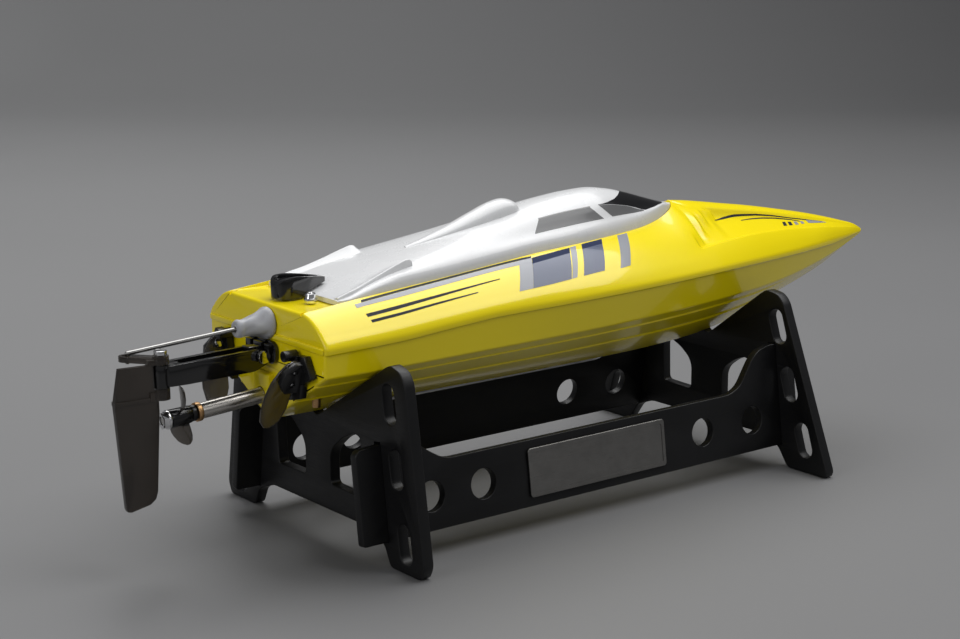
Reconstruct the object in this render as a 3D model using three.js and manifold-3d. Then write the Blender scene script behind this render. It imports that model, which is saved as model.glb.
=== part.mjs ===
// Radio-controlled deep-vee speed boat on its display stand.
// Millimetres, +Z up, +X towards the bow, +Y to port.  The model is drawn with
// X = 0 at the aft face of the stand's rear plate and Z = 0 at the table top,
// then shifted along X so that the origin is the centre of its footprint.
import * as THREE from 'three';
import { mergeVertices } from 'three/addons/utils/BufferGeometryUtils.js';
import Module from 'manifold-3d';

const wasm = await Module();
wasm.setup();

// ---------------------------------------------------------------- dimensions
const GAP = 0.3;                 // clearance between touching pieces
const TRANSOM_X = -23.5;         // aft face of the hull
const BOW_X = 331.5;             // tip of the bow
const AFT_X = -92;               // trailing edge of the rudder
const SHIFT_X = -(BOW_X + AFT_X) / 2;
const WALL = 1.8;                // hull and deck shell
const CANOPY_WALL = 1.4;
const SEAM_DROP = 2.4;           // hull-to-deck seam below the rail
const LIP = 4.5;                 // seat under the canopy edge
const OPEN_X0 = 3, OPEN_X1 = 168; // hatch opening in the deck
const CANOPY_AFT = -5.5, CANOPY_TIP = 195.4;

const SHAFT_SLOPE = Math.tan(THREE.MathUtils.degToRad(4));
const SHAFT_X0 = -54.5, SHAFT_Z0 = 62.9;     // tube's aft end
const shaftZ = (x) => SHAFT_Z0 + (x - SHAFT_X0) * SHAFT_SLOPE;
const SHAFT_R = 1.5, TUBE_R = 3.3, TUBE_BORE = 2.5;
const PROP_X = -62.9, PROP_R = 12.1, PROP_HUB_R = 3.8;
const MOTOR_X0 = 64, MOTOR_X1 = 95, MOTOR_R = 12.2;

const RUDDER_X = -71;            // rudder pin
const HORN_X = 18.2, HORN_Y = -22.5; // servo output shaft
const ARM = [-8.7, 11];          // hole from its pivot, same on tiller and horn
const ARM_R = Math.hypot(ARM[0], ARM[1]);
const ROD_R = 0.9;
const ROD_AFT = [RUDDER_X + ARM[0], ARM[1], 88.1];
const ROD_FWD = [HORN_X + ARM[0], HORN_Y + ARM[1], 99.5];

const STAND_T = 5;               // end plates
const REAR_X = 0, FRONT_X = 223.9;
const RAIL_T = 4, RAIL_LEAN = THREE.MathUtils.degToRad(7.4);

// ---------------------------------------------------------------- tools
// Monotone cubic through a table of [x, value].
function curve(table) {
  const n = table.length, x = table.map((p) => p[0]), y = table.map((p) => p[1]);
  const d = [], m = new Array(n).fill(0);
  for (let i = 0; i < n - 1; i++) d.push((y[i + 1] - y[i]) / (x[i + 1] - x[i]));
  m[0] = d[0]; m[n - 1] = d[n - 2];
  for (let i = 1; i < n - 1; i++) {
    if (d[i - 1] * d[i] <= 0) m[i] = 0;
    else {
      const a = x[i] - x[i - 1], b = x[i + 1] - x[i];
      m[i] = (3 * (a + b)) / ((2 * b + a) / d[i - 1] + (b + 2 * a) / d[i]);
    }
  }
  return (t) => {
    if (t <= x[0]) return y[0];
    if (t >= x[n - 1]) return y[n - 1];
    let i = 0;
    while (t > x[i + 1]) i++;
    const h = x[i + 1] - x[i], s = (t - x[i]) / h, s2 = s * s, s3 = s2 * s;
    return (2 * s3 - 3 * s2 + 1) * y[i] + (s3 - 2 * s2 + s) * h * m[i]
      + (3 * s2 - 2 * s3) * y[i + 1] + (s3 - s2) * h * m[i + 1];
  };
}
const smooth = (a, b, x) => { const t = Math.min(1, Math.max(0, (x - a) / (b - a))); return t * t * (3 - 2 * t); };
const lerp2 = (p, q, t) => [p[0] + (q[0] - p[0]) * t, p[1] + (q[1] - p[1]) * t];

function solid(geometry) {
  const g = geometry.index ? geometry.toNonIndexed() : geometry.clone();
  for (const k of Object.keys(g.attributes)) if (k !== 'position') g.deleteAttribute(k);
  const m = mergeVertices(g, 1e-4);
  const tri = [];
  const ix = m.index.array;
  for (let i = 0; i < ix.length; i += 3) {
    if (ix[i] !== ix[i + 1] && ix[i + 1] !== ix[i + 2] && ix[i] !== ix[i + 2]) tri.push(ix[i], ix[i + 1], ix[i + 2]);
  }
  return new wasm.Manifold(new wasm.Mesh({
    numProp: 3, vertProperties: new Float32Array(m.attributes.position.array), triVerts: new Uint32Array(tri),
  }));
}
function geometryOf(body) {
  const mesh = body.getMesh();
  const g = new THREE.BufferGeometry();
  g.setAttribute('position', new THREE.BufferAttribute(new Float32Array(mesh.vertProperties), 3));
  g.setIndex(new THREE.BufferAttribute(new Uint32Array(mesh.triVerts), 1));
  g.computeVertexNormals();
  return g;
}
const join = (...b) => b.reduce((p, q) => p.add(q));
const cut = (a, ...b) => b.reduce((p, q) => p.subtract(q), a);

// Rings of [x, y, z] points skinned into a closed body, flat caps at both ends.
function loft(rings, capAxis = 0) {
  const n = rings[0].length, pos = [];
  const push = (...p) => p.forEach((q) => pos.push(q[0], q[1], q[2]));
  for (let i = 0; i < rings.length - 1; i++) {
    for (let j = 0; j < n; j++) {
      const k = (j + 1) % n, a = rings[i][j], b = rings[i][k], c = rings[i + 1][k], d = rings[i + 1][j];
      push(a, b, c); push(a, c, d);
    }
  }
  const u = (capAxis + 1) % 3, v = (capAxis + 2) % 3;
  for (const [ring, flip] of [[rings[0], true], [rings[rings.length - 1], false]]) {
    const flat = ring.map((p) => new THREE.Vector2(p[u], p[v]));
    for (const f of THREE.ShapeUtils.triangulateShape(flat, [])) {
      let t = [ring[f[0]], ring[f[1]], ring[f[2]]];
      const e1 = [t[1][u] - t[0][u], t[1][v] - t[0][v]], e2 = [t[2][u] - t[0][u], t[2][v] - t[0][v]];
      const up = e1[0] * e2[1] - e1[1] * e2[0] > 0;
      if (up === flip) t = [t[0], t[2], t[1]];
      push(...t);
    }
  }
  const g = new THREE.BufferGeometry();
  g.setAttribute('position', new THREE.BufferAttribute(new Float32Array(pos), 3));
  return solid(g);
}
// Outline with holes, drawn in a plane and pushed along the third axis.
function prism(outline, plane, from, to, holes = []) {
  if (holes.length) return cut(prism(outline, plane, from, to), ...holes.map((h) => prism(h, plane, from - 1, to + 1)));
  const shape = new THREE.Shape(outline.map((p) => new THREE.Vector2(p[0], p[1])));
  const g = new THREE.ExtrudeGeometry(shape, { depth: to - from, bevelEnabled: false, steps: 1, curveSegments: 1 });
  g.translate(0, 0, from);
  const m = new THREE.Matrix4();
  if (plane === 'yz') m.set(0, 0, 1, 0, 1, 0, 0, 0, 0, 1, 0, 0, 0, 0, 0, 1);
  if (plane === 'xz') { m.set(1, 0, 0, 0, 0, 0, -1, 0, 0, 1, 0, 0, 0, 0, 0, 1); g.translate(0, 0, -(to + from)); }
  if (plane !== 'xy') g.applyMatrix4(m);
  return solid(g);
}
function box(x0, x1, y0, y1, z0, z1) {
  const g = new THREE.BoxGeometry(x1 - x0, y1 - y0, z1 - z0);
  g.translate((x0 + x1) / 2, (y0 + y1) / 2, (z0 + z1) / 2);
  return solid(g);
}
function along(g, a, b) {       // a geometry built on +Y from 0, laid from a towards b
  const dir = new THREE.Vector3(...b).sub(new THREE.Vector3(...a)).normalize();
  g.applyQuaternion(new THREE.Quaternion().setFromUnitVectors(new THREE.Vector3(0, 1, 0), dir));
  g.translate(...a);
  return g;
}
function rod(a, b, r, seg = 20, r2 = r) {
  const len = new THREE.Vector3(...a).distanceTo(new THREE.Vector3(...b));
  const g = new THREE.CylinderGeometry(r2, r, len, seg, 1);
  g.translate(0, len / 2, 0);
  return solid(along(g, a, b));
}
function turned(profile, a, b, seg = 24) { // profile of [radius, distance from a]
  const g = new THREE.LatheGeometry(profile.map((p) => new THREE.Vector2(p[0], p[1])), seg);
  return solid(along(g, a, b));
}
function tube(points, r, seg = 8, steps = 30) {
  const path = new THREE.CatmullRomCurve3(points.map((p) => new THREE.Vector3(...p)), false, 'centripetal');
  const s = new THREE.Shape();
  for (let i = 0; i < seg; i++) {
    const a = (i / seg) * Math.PI * 2;
    if (i) s.lineTo(r * Math.cos(a), r * Math.sin(a)); else s.moveTo(r, 0);
  }
  return solid(new THREE.ExtrudeGeometry(s, { steps, extrudePath: path, curveSegments: 1 }));
}
const disc = (cx, cy, r, n = 20, a0 = 0) => Array.from({ length: n }, (_, i) => {
  const a = a0 + (i / n) * Math.PI * 2; return [cx + r * Math.cos(a), cy + r * Math.sin(a)];
});
function stadium(cx, cy, half, r, angle = 0, n = 8) { // slot with round ends along angle
  const c = Math.cos(angle), s = Math.sin(angle), out = [];
  for (let e = 0; e < 2; e++) {
    for (let i = 0; i <= n; i++) {
      const a = -Math.PI / 2 + e * Math.PI + (i / n) * Math.PI;
      const px = (e ? -half : half) + r * Math.cos(a), py = r * Math.sin(a);
      out.push([cx + px * c - py * s, cy + px * s + py * c]);
    }
  }
  return out;
}
const mirrorY = (pts) => pts.map((p) => [-p[0], ...p.slice(1)]).reverse();
function rounded(poly, radius, n = 3) { // outline with its corners rounded
  const out = [], m = poly.length;
  for (let i = 0; i < m; i++) {
    const p = poly[i], a = poly[(i + m - 1) % m], b = poly[(i + 1) % m];
    const r = Math.min(radius, Math.hypot(a[0] - p[0], a[1] - p[1]) / 2.2, Math.hypot(b[0] - p[0], b[1] - p[1]) / 2.2);
    const ua = Math.hypot(a[0] - p[0], a[1] - p[1]), ub = Math.hypot(b[0] - p[0], b[1] - p[1]);
    const s = [p[0] + ((a[0] - p[0]) / ua) * r, p[1] + ((a[1] - p[1]) / ua) * r];
    const e = [p[0] + ((b[0] - p[0]) / ub) * r, p[1] + ((b[1] - p[1]) / ub) * r];
    for (let k = 0; k <= n; k++) {
      const t = k / n;
      out.push([(1 - t) ** 2 * s[0] + 2 * t * (1 - t) * p[0] + t * t * e[0], (1 - t) ** 2 * s[1] + 2 * t * (1 - t) * p[1] + t * t * e[1]]);
    }
  }
  return out;
}
// A section moved inwards by t along its own normals; its ends stay on y = 0.
function inset(half, t) {
  const n = half.length;
  return half.map((p, i) => {
    const a = half[Math.max(0, i - 1)], b = half[Math.min(n - 1, i + 1)];
    if (i === 0) return [0, p[1] + t * 1.16];
    if (i === n - 1) return [0, p[1] - t * 1.02];
    const e1 = [p[0] - a[0], p[1] - a[1]], e2 = [b[0] - p[0], b[1] - p[1]];
    const l1 = Math.hypot(...e1) || 1, l2 = Math.hypot(...e2) || 1;
    let nx = -(e1[1] / l1 + e2[1] / l2), ny = e1[0] / l1 + e2[0] / l2;
    const l = Math.hypot(nx, ny) || 1;
    nx /= l; ny /= l;
    return [Math.max(0.02 * i, p[0] + nx * t), p[1] + ny * t];
  });
}
const ringOf = (x, half) => [
  ...half.map((p) => [x, p[0], p[1]]),
  ...half.slice(1, -1).reverse().map((p) => [x, -p[0], p[1]]),
];

// ---------------------------------------------------------------- hull lines
const keelZ = curve([[-23.5, 53.9], [0, 53.7], [60, 53], [110, 52.6], [170, 52.9], [205, 54.4], [229, 57.3], [250, 61.8], [274, 69.5], [288, 73.6], [302, 78.4], [313, 83.4], [324, 88.6], [331.5, 92]]);
const chineY = curve([[-23.5, 44], [0, 43.9], [60, 43.2], [120, 40.6], [170, 35.5], [200, 30.6], [229, 25], [250, 20.4], [272, 15], [292, 10], [307, 6], [320, 2.9], [329, 1], [331.5, 0.35]]);
const chineZ = curve([[-23.5, 79.3], [0, 79], [60, 79.2], [120, 79], [190, 79], [229, 79.3], [250, 80], [272, 81.6], [292, 83.9], [307, 86.2], [320, 89], [331.5, 92.2]]);
const railY = curve([[-23.5, 44.8], [0, 45.4], [60, 46], [95, 45.8], [120, 44.8], [143, 43], [184, 38], [222, 31], [250, 24.6], [266, 20.4], [285, 15], [300, 10.4], [315, 5.9], [325, 2.8], [331.5, 0.6]]);
const railZ = curve([[-23.5, 91], [12, 92], [40, 94], [65, 95.3], [120, 95.5], [184, 95.4], [222, 95], [266, 94], [300, 93.3], [331.5, 92.9]]);
const edgeY = curve([[-23.5, 28], [0, 28.3], [50, 28], [76, 27.3], [98, 26], [120, 24.2], [136, 21.9], [152, 18.9], [165, 15.8], [178, 12.2], [188, 8.6], [194, 5], [196.4, 2], [197.4, 0.8]]);
const edgeZ = curve([[-23.5, 103], [-10, 104.3], [4, 105.6], [24, 107.1], [44, 108.6], [76, 111.3], [98, 112.9], [136, 114], [165, 114.9], [178, 116.3], [188, 118.6], [194, 120.4], [197.4, 121.9]]);
const seatZ = (x) => x < 4 ? 102.9 + 0.9 * smooth(-6, 4, x) + 0.6 * smooth(-4, 4, x) : edgeZ(x) - 1.2;
const ridgeZ = curve([[185, 122.9], [197.4, 122.2], [205, 121.4], [218, 119.5], [231, 117.4], [245, 115.2], [258, 112.9], [272, 110.2], [287, 107.2], [301, 104], [316, 100.1], [326, 97.2], [331.5, 94.3]]);
const creaseY = curve([[-23.5, 41.5], [-6, 42.2], [13, 42.4], [33, 42.5], [53, 42.5], [74.5, 42.05], [97, 41], [121, 39.1], [147, 36], [175, 31.7], [190, 29.1], [206, 26], [229, 21.6], [254, 16.6], [280, 11.2], [300, 7.4], [315, 4.2], [325, 2], [331.5, 0.45]]);
const creaseZ = curve([[-23.5, 95.3], [-6, 95.95], [13, 97], [33, 98.5], [53, 99.9], [74.5, 101.2], [97, 102.4], [121, 103.3], [147, 103.8], [175, 104.1], [190, 104.25], [206, 104.8], [229, 105], [254, 103.8], [280, 101.5], [300, 99.2], [315, 97.1], [325, 95.6], [331.5, 93.6]]);
const bandY = curve([[197.4, 0.9], [201, 3.6], [205, 5.3], [214, 5.7], [250, 5.1], [280, 4.1], [300, 3], [315, 1.8], [325, 0.9], [331.5, 0.2]]);
const CROWN = 1.35;

function hullHalf(x) {
  const zk = keelZ(x), yc = chineY(x), zc = chineZ(x), yr = railY(x), zr = railZ(x);
  const s = 0.9 * (1 - smooth(225, 290, x));           // strake depth
  const bottom = (f) => [f * yc, zk + f * (zc - zk)];
  const k = Math.min(1, yc / 12);
  const out = [[0, zk]];
  for (const f of [0.45, 0.8]) {
    const a = bottom(f), w = Math.max(0.02, 1.5 * s * k), b = bottom(f + w / Math.max(yc, 0.3));
    out.push([b[0] - 0.02, a[1] + (b[1] - a[1]) * (1 - s * 0.9)], b);
  }
  out.push([yc, zc]);
  const zs = zr - SEAM_DROP * Math.min(1, yr / 10), t = Math.min(1, yr / 8);
  out.push([Math.max(yc + 0.01, yr - 0.9 * t), zs - 0.15 * t], [Math.max(yc + 0.02, yr - 0.2 * t), zs + 0.15 * t], [yr, zr]);
  // shoulder, from the rail up to the canopy edge or the bow ridge
  const ye = edgeY(x), ze = edgeZ(x), R = [yr, zr];
  let E = [ye, ze], F = [ye - 0.25 * Math.min(1, ye / 4), seatZ(x)], G = [F[0] * 0.5, seatZ(x)], D = [0, seatZ(x)];
  if (x > 197.4) {
    const b = bandY(x), zd = ridgeZ(x);
    E = [b, zd - 0.42 * b]; F = [0.72 * b, zd - 0.24 * b]; G = [0.38 * b, zd - 0.08 * b]; D = [0, zd];
  } else if (x > 195.8) {
    const q = smooth(195.8, 197.4, x), zd = 122.2 - 0.5 * (1 - q);
    D = [0, D[1] + (zd - D[1]) * q]; G = [G[0], G[1] + (zd - 0.02 - G[1]) * q]; F = [F[0], F[1] + (zd - 0.1 - F[1]) * q];
  }
  // a steep band up to the crease, then the shoulder; forward of a raked wall the shoulder becomes a sunk panel
  const S = [creaseY(x), creaseZ(x)], g = Math.min(1, yr / 14), v = Math.min(1, E[0] / 4), q0 = smooth(188, 200, x);
  const step = 1.9 * smooth(212, 218, x) * (1 - 0.75 * smooth(238, 312, x)) * Math.min(1, E[0] / 3);
  const B0 = [E[0] + 0.9 * v * q0, E[1] - 0.5 * v * q0], B = [B0[0], B0[1] - step];
  const arc = [1 / 3, 2 / 3].map((t2) => { const p = lerp2(R, S, t2); return [p[0] + 0.35 * g, p[1] + 0.2 * g]; });
  arc.push(S);
  for (const t2 of [0.07, 0.28, 0.52, 0.76, 0.93]) {
    const wall = 190 + 20 * t2 + 8 * smooth(0.7, 1, t2), q = smooth(wall - 1.6, wall + 1.6, x);
    const high = lerp2(S, B0, t2), low = lerp2(S, B, t2);
    const sunk = (1.1 * (1 - 0.8 * smooth(240, 318, x)) + 0.9 * (1 - smooth(wall, wall + 34, x))) * Math.min(1, t2 / 0.07) * (1 - 0.35 * t2);
    const m = lerp2(high, low, q), lift = CROWN * 4 * t2 * (1 - t2) * (1 - q) - sunk * q;
    arc.push([m[0] + 0.3 * lift * (1 - q), m[1] + lift * g]);
  }
  arc.push([B[0] * q0 + (0.97 * E[0] + 0.03 * S[0]) * (1 - q0), B[1] * q0 + (0.97 * E[1] + 0.03 * S[1] + 0.1) * (1 - q0)]);
  out.push(...arc, E, F, G, D);
  return out;
}
const HULL_X = [-23.5, -6, 0, 4, 12, 32, 56, 82, 110, 136, 155, 170, 181, 187, 189.5, 192, 194, 195.8, 197.4, 200, 202.5, 205, 207.5, 210, 213, 216.5, 221, 232, 246, 262, 276, 289, 301, 311, 320, 327, 331.5];
const hullSolid = loft(HULL_X.map((x) => ringOf(x, hullHalf(x))));
const INNER_X = [TRANSOM_X + WALL, -6, 0, 4, 12, 32, 56, 82, 110, 136, 155, 170, 188, 200, 214, 232, 250, 268, 284];
const hullInner = loft(INNER_X.map((x) => {
  const h = hullHalf(x), pick = [0, 5, 8, 12, 15, 18, 19, 20, 21];
  const base = pick.map((i) => h[i]);
  const i = inset(base, WALL);
  if (x < 192) { const s = seatZ(x) - WALL; for (const k of [6, 7, 8]) i[k][1] = s - (8 - k) * 0.01; i[5][1] = Math.min(i[5][1], s - 0.05); }
  return ringOf(x, i);
}));
const shell = cut(hullSolid, hullInner);
const seam = [-40, -24, -10, 12, 26, 40, 52, 65, 90, 120, 150, 184, 222, 266, 300, 316, 325, 331.5, 345].map((x) => [x, railZ(x) - SEAM_DROP * Math.min(1, railY(x) / 10)]);
const below = prism([[345, 30], ...[...seam].reverse(), [-40, 30]], 'xz', -80, 80);
const above = prism([...seam.map((p) => [p[0], p[1] + GAP]), [345, 160], [-40, 160]], 'xz', -80, 80);

// shaft log: a small boss on the transom that the tube leaves through
const boss = box(-26.4, -23, -6, 6, 60.6, 74.4);
const tubeHole = rod([-60, 0, shaftZ(-60)], [60, 0, shaftZ(60)], TUBE_R + GAP, 24);
const inletHole = rod([-12, -19, 55], [-12, -19, 75], 2.1, 14);
let hullLower = shell.intersect(below);
hullLower = join(hullLower, cut(boss, hullInner));
hullLower = cut(hullLower, tubeHole, inletHole);

// deck moulding: hatch opening, steering-rod hole, latch post and outlet holes
const planEdge = (off, x0, x1, n = 9) => {
  const p = [];
  for (let i = 0; i <= n; i++) { const x = x0 + ((x1 - x0) * i) / n; p.push([x, edgeY(x) - off]); }
  return [...p.map((q) => [q[0], -q[1]]), ...p.reverse()];
};
const rodAt = (x) => { const t = (x - ROD_AFT[0]) / (ROD_FWD[0] - ROD_AFT[0]); return ROD_AFT.map((v, i) => v + (ROD_FWD[i] - v) * t); };
const POST_X = -13.5, POST_Y = 0;
const NOZZLE = [-10.6, -14.2];
const rodSlot = prism(stadium(rodAt(-23)[1], rodAt(-23)[2], 3.6, 2.1), 'yz', -30, -18);
const deckUpper = cut(
  shell.intersect(above),
  prism(planEdge(LIP, OPEN_X0, OPEN_X1), 'xy', 90, 140),
  rodSlot,
  rod([POST_X, POST_Y, 95], [POST_X, POST_Y, 110], 1.4 + GAP, 16),
  rod([NOZZLE[0], NOZZLE[1], 90], [NOZZLE[0], NOZZLE[1], 112], 1.5 + GAP, 16),
);

// ---------------------------------------------------------------- canopy
const topZ = curve([[-5.5, 105.1], [0, 106.3], [6.5, 108.3], [20, 112], [40, 116.1], [60, 119.9], [80, 123.7], [100, 127.5], [120, 131], [134, 132.5], [146, 133], [157, 131.7], [167.4, 129.2], [180, 125.4], [190, 122.5], [193.5, 121.7], [195.4, 121.3]]);
const FY = {
  w0: curve([[-5.5, 0.84], [60, 0.82], [100, 0.81], [140, 0.83], [165, 0.81], [196, 0.78]]),
  w1: curve([[-5.5, 0.62], [60, 0.61], [100, 0.63], [140, 0.62], [165, 0.58], [196, 0.55]]),
  r1: curve([[-5.5, 0.35], [196, 0.33]]), r2: curve([[-5.5, 0.17], [196, 0.16]]),
};
const FZ = {
  w0: curve([[-5.5, 0.88], [20, 0.86], [40, 0.78], [60, 0.7], [80, 0.56], [100, 0.47], [140, 0.38], [165, 0.44], [180, 0.62], [196, 0.88]]),
  w1: curve([[-5.5, 0.95], [20, 0.94], [60, 0.88], [80, 0.83], [100, 0.81], [140, 0.74], [165, 0.77], [196, 0.94]]),
  r1: curve([[-5.5, 0.98], [60, 0.97], [100, 0.945], [140, 0.915], [196, 0.97]]), r2: curve([[-5.5, 0.995], [196, 0.99]]),
};
const SKIRT = [[0.985, 0.62, 2.7], [0.935, 0.84, 4.9]]; // share of half width, of height, and its most
function canopyHalf(x, t = 0) { // outer section, or the inner one t further in
  const e = edgeY(x) - 0.55, h = Math.max(0.3, e * (x < -2 ? 0.93 + 0.07 * smooth(-5.5, -2, x) : 1)), ze = Math.max(edgeZ(x), seatZ(x) + 0.5) + 0.15, zt = Math.max(topZ(x), ze + 0.35);
  const H = zt - ze, out = [];
  const foot = seatZ(x) + 0.35 + 0.45 * smooth(184, 191, x);
  out.push([0, foot], [h, foot], [h, Math.max(ze, foot + 0.1)]);
  for (const [fy, fz, most] of SKIRT) out.push([h * fy, ze + Math.min(H * fz, most)]);
  for (const k of ['w0', 'w1', 'r1', 'r2']) out.push([h * FY[k](x), ze + H * FZ[k](x)]);
  out.push([0, zt]);
  if (!t) return out;
  const c = inset(out, t);
  c[0] = [0, 95]; c[1] = [Math.max(0.3, h - t), 95];
  return c;
}
const CAN_X = [CANOPY_AFT, -3.5, 0, 8, 20, 36, 52, 68, 82, 94, 106, 118, 130, 142, 154, 166, 176, 184, 190, 194, CANOPY_TIP];
let canopy = loft(CAN_X.map((x) => ringOf(x, canopyHalf(x))));
// air-intake hump on the spine and a low fairing on each quarter
const domed = (x, yc, w, z0, z1, n = 5) => {
  const r = [];
  for (let i = 0; i <= n; i++) { const a = (i / n) * Math.PI; r.push([x, yc + w * Math.cos(a), z0 + (z1 - z0) * Math.pow(Math.sin(a), 0.6)]); }
  r.push([x, yc - w, z0 - 3], [x, yc + w, z0 - 3]);
  return r;
};
const humpW = curve([[46, 1.2], [56, 2.9], [70, 4.6], [82, 5.8], [94, 6.5], [101, 6.2], [104.5, 4.6]]);
const humpZ = curve([[46, 117.6], [56, 120.2], [70, 124.4], [82, 128.6], [92, 131.9], [98, 132.9], [102, 131.9], [104.5, 129.4]]);
const HUMP_X = [46, 56, 70, 82, 90, 96, 100, 103, 104.5];
canopy = join(canopy, loft(HUMP_X.map((x) => domed(x, 0, humpW(x), topZ(x) - 0.8, humpZ(x)))));
const kickY = curve([[-4.6, 24.6], [3, 24.4], [10, 23], [20, 21.6], [33, 20.6]]);
const kickZ = curve([[-4.6, 106.2], [0, 107.6], [8, 109.6], [18, 112.6], [28, 115.8], [32, 116.8], [33.4, 116.7], [34.6, 115.9]]);
for (const s of [1, -1]) { // a kick-up on each rear quarter: a ramp to a crest with a short steep wall outside it
  canopy = join(canopy, loft([-4.6, 0, 8, 18, 28, 32, 34.6].map((x) => {
    const y = kickY(x), z = kickZ(x), low = Math.min(topZ(x) - 1.2, z - 0.3), foot = Math.max(topZ(x) - 2.7, seatZ(x) + 0.6);
    const sec = [[y - 12.5, low], ...[0.45, 0.72, 0.9].map((t) => [y - 12.5 + 12.5 * t, low + (z - low) * t ** 2.2]), [y - 0.1, z], [y + 0.6, z - 0.8], [y + 0.9, foot], [y - 12.5, foot]];
    return s > 0 ? sec.map((p) => [x, p[0], p[1]]).reverse() : sec.map((p) => [x, -p[0], p[1]]);
  })));
}
canopy = cut(canopy, loft([8, 13, 20, 36, 52, 68, 82, 94, 106, 118, 130, 142, 154, 166, 176, 186].map((x) => ringOf(x, canopyHalf(x, CANOPY_WALL)))));
// rubber gasket on the seat, under the canopy
const ringOut = planEdge(1.9, 0.5, 170), ringIn = planEdge(3.6, 2.2, 168.6);
const seatLine = [-8, -2, 2, 6, 14, 24, 44, 60, 76, 98, 120, 136, 150, 165, 178].map((x) => [x, seatZ(x)]);
const seatBand = prism([...seatLine.map((p) => [p[0], p[1] + 0.35]), ...seatLine.map((p) => [p[0], p[1] + 1.2]).reverse()], 'xz', -50, 50);
let gasket = cut(prism(ringOut, 'xy', 90, 140), prism(ringIn, 'xy', 90, 140)).intersect(seatBand);
gasket = cut(gasket, canopy);

// ---------------------------------------------------------------- latch
const latchSide = rounded([[-19.2, 104], [-19.4, 109.4], [-16.4, 112.1], [-11, 112.5], [0, 111], [6.6, 109.9], [6.6, 108.9], [0.5, 107.6], [-7.6, 105.2], [-8.4, 103.6], [-18.6, 103.6]], 1.6, 3);
const latchPlan = [];
for (let i = 0; i <= 10; i++) { const a = Math.PI / 2 + (i / 10) * Math.PI; latchPlan.push([POST_X + 5.9 * Math.cos(a), 5.9 * Math.sin(a)]); }
latchPlan.push([POST_X + 9, -4.9], [POST_X + 18, -2.2], [3.7, -1.25], [4.4, 0], [3.7, 1.25], [POST_X + 18, 2.2], [POST_X + 9, 4.9]);
const latchKnob = cut(prism(latchPlan, 'xy', 100, 115).intersect(prism(latchSide, 'xz', -10, 10)), rod([POST_X, 0, 100], [POST_X, 0, 109], 1.4 + GAP, 16));
const latchPost = join(rod([POST_X, 0, 99.3], [POST_X, 0, 108.6], 1.4, 16), rod([POST_X, 0, 99.3], [POST_X, 0, 100.7], 3.2, 18));

// ---------------------------------------------------------------- drive line
const onShaft = (x) => [x, 0, shaftZ(x)];
const ring = (x0, x1, ro, ri, seg = 24) => cut(rod(onShaft(x0), onShaft(x1), ro, seg), rod(onShaft(x0 - 5), onShaft(x1 + 5), ri, seg));
const stuffingTube = ring(-54.4, 40, TUBE_R, TUBE_BORE);
const bushRear = cut(join(rod(onShaft(-56.7), onShaft(-54.7), 3.9, 20), rod(onShaft(-55), onShaft(-46), TUBE_BORE - GAP, 20)), rod(onShaft(-60), onShaft(-40), SHAFT_R + GAP, 20));
const bushFront = cut(join(rod(onShaft(40.3), onShaft(42), 3.6, 20), rod(onShaft(33), onShaft(41), TUBE_BORE - GAP, 20)), rod(onShaft(30), onShaft(50), SHAFT_R + GAP, 20));
const driveShaft = rod(onShaft(-71.4), onShaft(53.5), SHAFT_R, 16);
const thrustWasher = ring(-59, -57.1, 3.3, SHAFT_R + GAP, 20);
const propNut = cut(join(rod(onShaft(-71.8), onShaft(-69.6), 3.5, 6), rod(onShaft(-69.8), onShaft(-68.7), 3.9, 18)), rod(onShaft(-75), onShaft(-60), SHAFT_R + GAP, 16));
function propeller() {
  let body = rod(onShaft(-68.4), onShaft(-59.3), PROP_HUB_R, 22, PROP_HUB_R - 0.3);
  for (const k of [0, 1]) {
    // blade drawn outwards along +Z, cambered and twisted about the radius
    const rings = [], radii = [2.8, 5, 7, 9, 10.8, 11.7, PROP_R];
    const chord = [7, 9.6, 12, 13, 11.4, 8.6, 4.6];
    radii.forEach((r, i) => {
      const pitch = Math.atan2(24, 2 * Math.PI * r), c = chord[i] / 2, p = [];
      const cx = Math.cos(pitch), sx = Math.sin(pitch), w = 0.55 - 0.2 * (i / 6);
      for (const [u, v] of [[-c, 0], [-c * 0.5, -w], [c * 0.4, -w], [c, 0], [c * 0.4, w], [-c * 0.5, w]]) {
        const ax = Math.max(-2.7, Math.min(2.7, (u + 0.6) * sx * 0.72 - v * cx)), ay = (u + 0.6) * cx + v * sx;
        p.push([ax, ay, Math.sqrt(Math.max(0.1, r * r - ay * ay * 0.35))]);
      }
      rings.push(p);
    });
    const flat = rings.map((rg) => rg.map((q) => [q[2], q[0], q[1]]));
    let blade = loft(flat, 0);
    const m = new THREE.Matrix4().makeRotationX(THREE.MathUtils.degToRad(198 + k * 180));
    const tilt = new THREE.Matrix4().makeRotationY(-Math.atan(SHAFT_SLOPE));
    const place = new THREE.Matrix4().makeTranslation(PROP_X, 0, shaftZ(PROP_X)).multiply(tilt).multiply(m);
    // axes of the drawing: radial, axial, tangential
    const axes = new THREE.Matrix4().set(0, 1, 0, 0, 0, 0, 1, 0, 1, 0, 0, 0, 0, 0, 0, 1);
    blade = solid(geometryOf(blade).applyMatrix4(place.multiply(axes)));
    body = join(body, blade);
  }
  return cut(body, rod(onShaft(-75), onShaft(-50), SHAFT_R + GAP, 16));
}
const coupling = cut(rod(onShaft(46), onShaft(58.8), 4.4, 16), rod(onShaft(44), onShaft(54.2), SHAFT_R + GAP, 16), rod(onShaft(54), onShaft(62), 1.15 + GAP, 16), rod([50.5, 0, shaftZ(50)], [50.2, 0, shaftZ(50) + 8], 1, 10));
const motorRotor = join(rod(onShaft(54.6), onShaft(97.4), 1.15, 14), rod(onShaft(69), onShaft(88), 9.6, 22));
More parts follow.
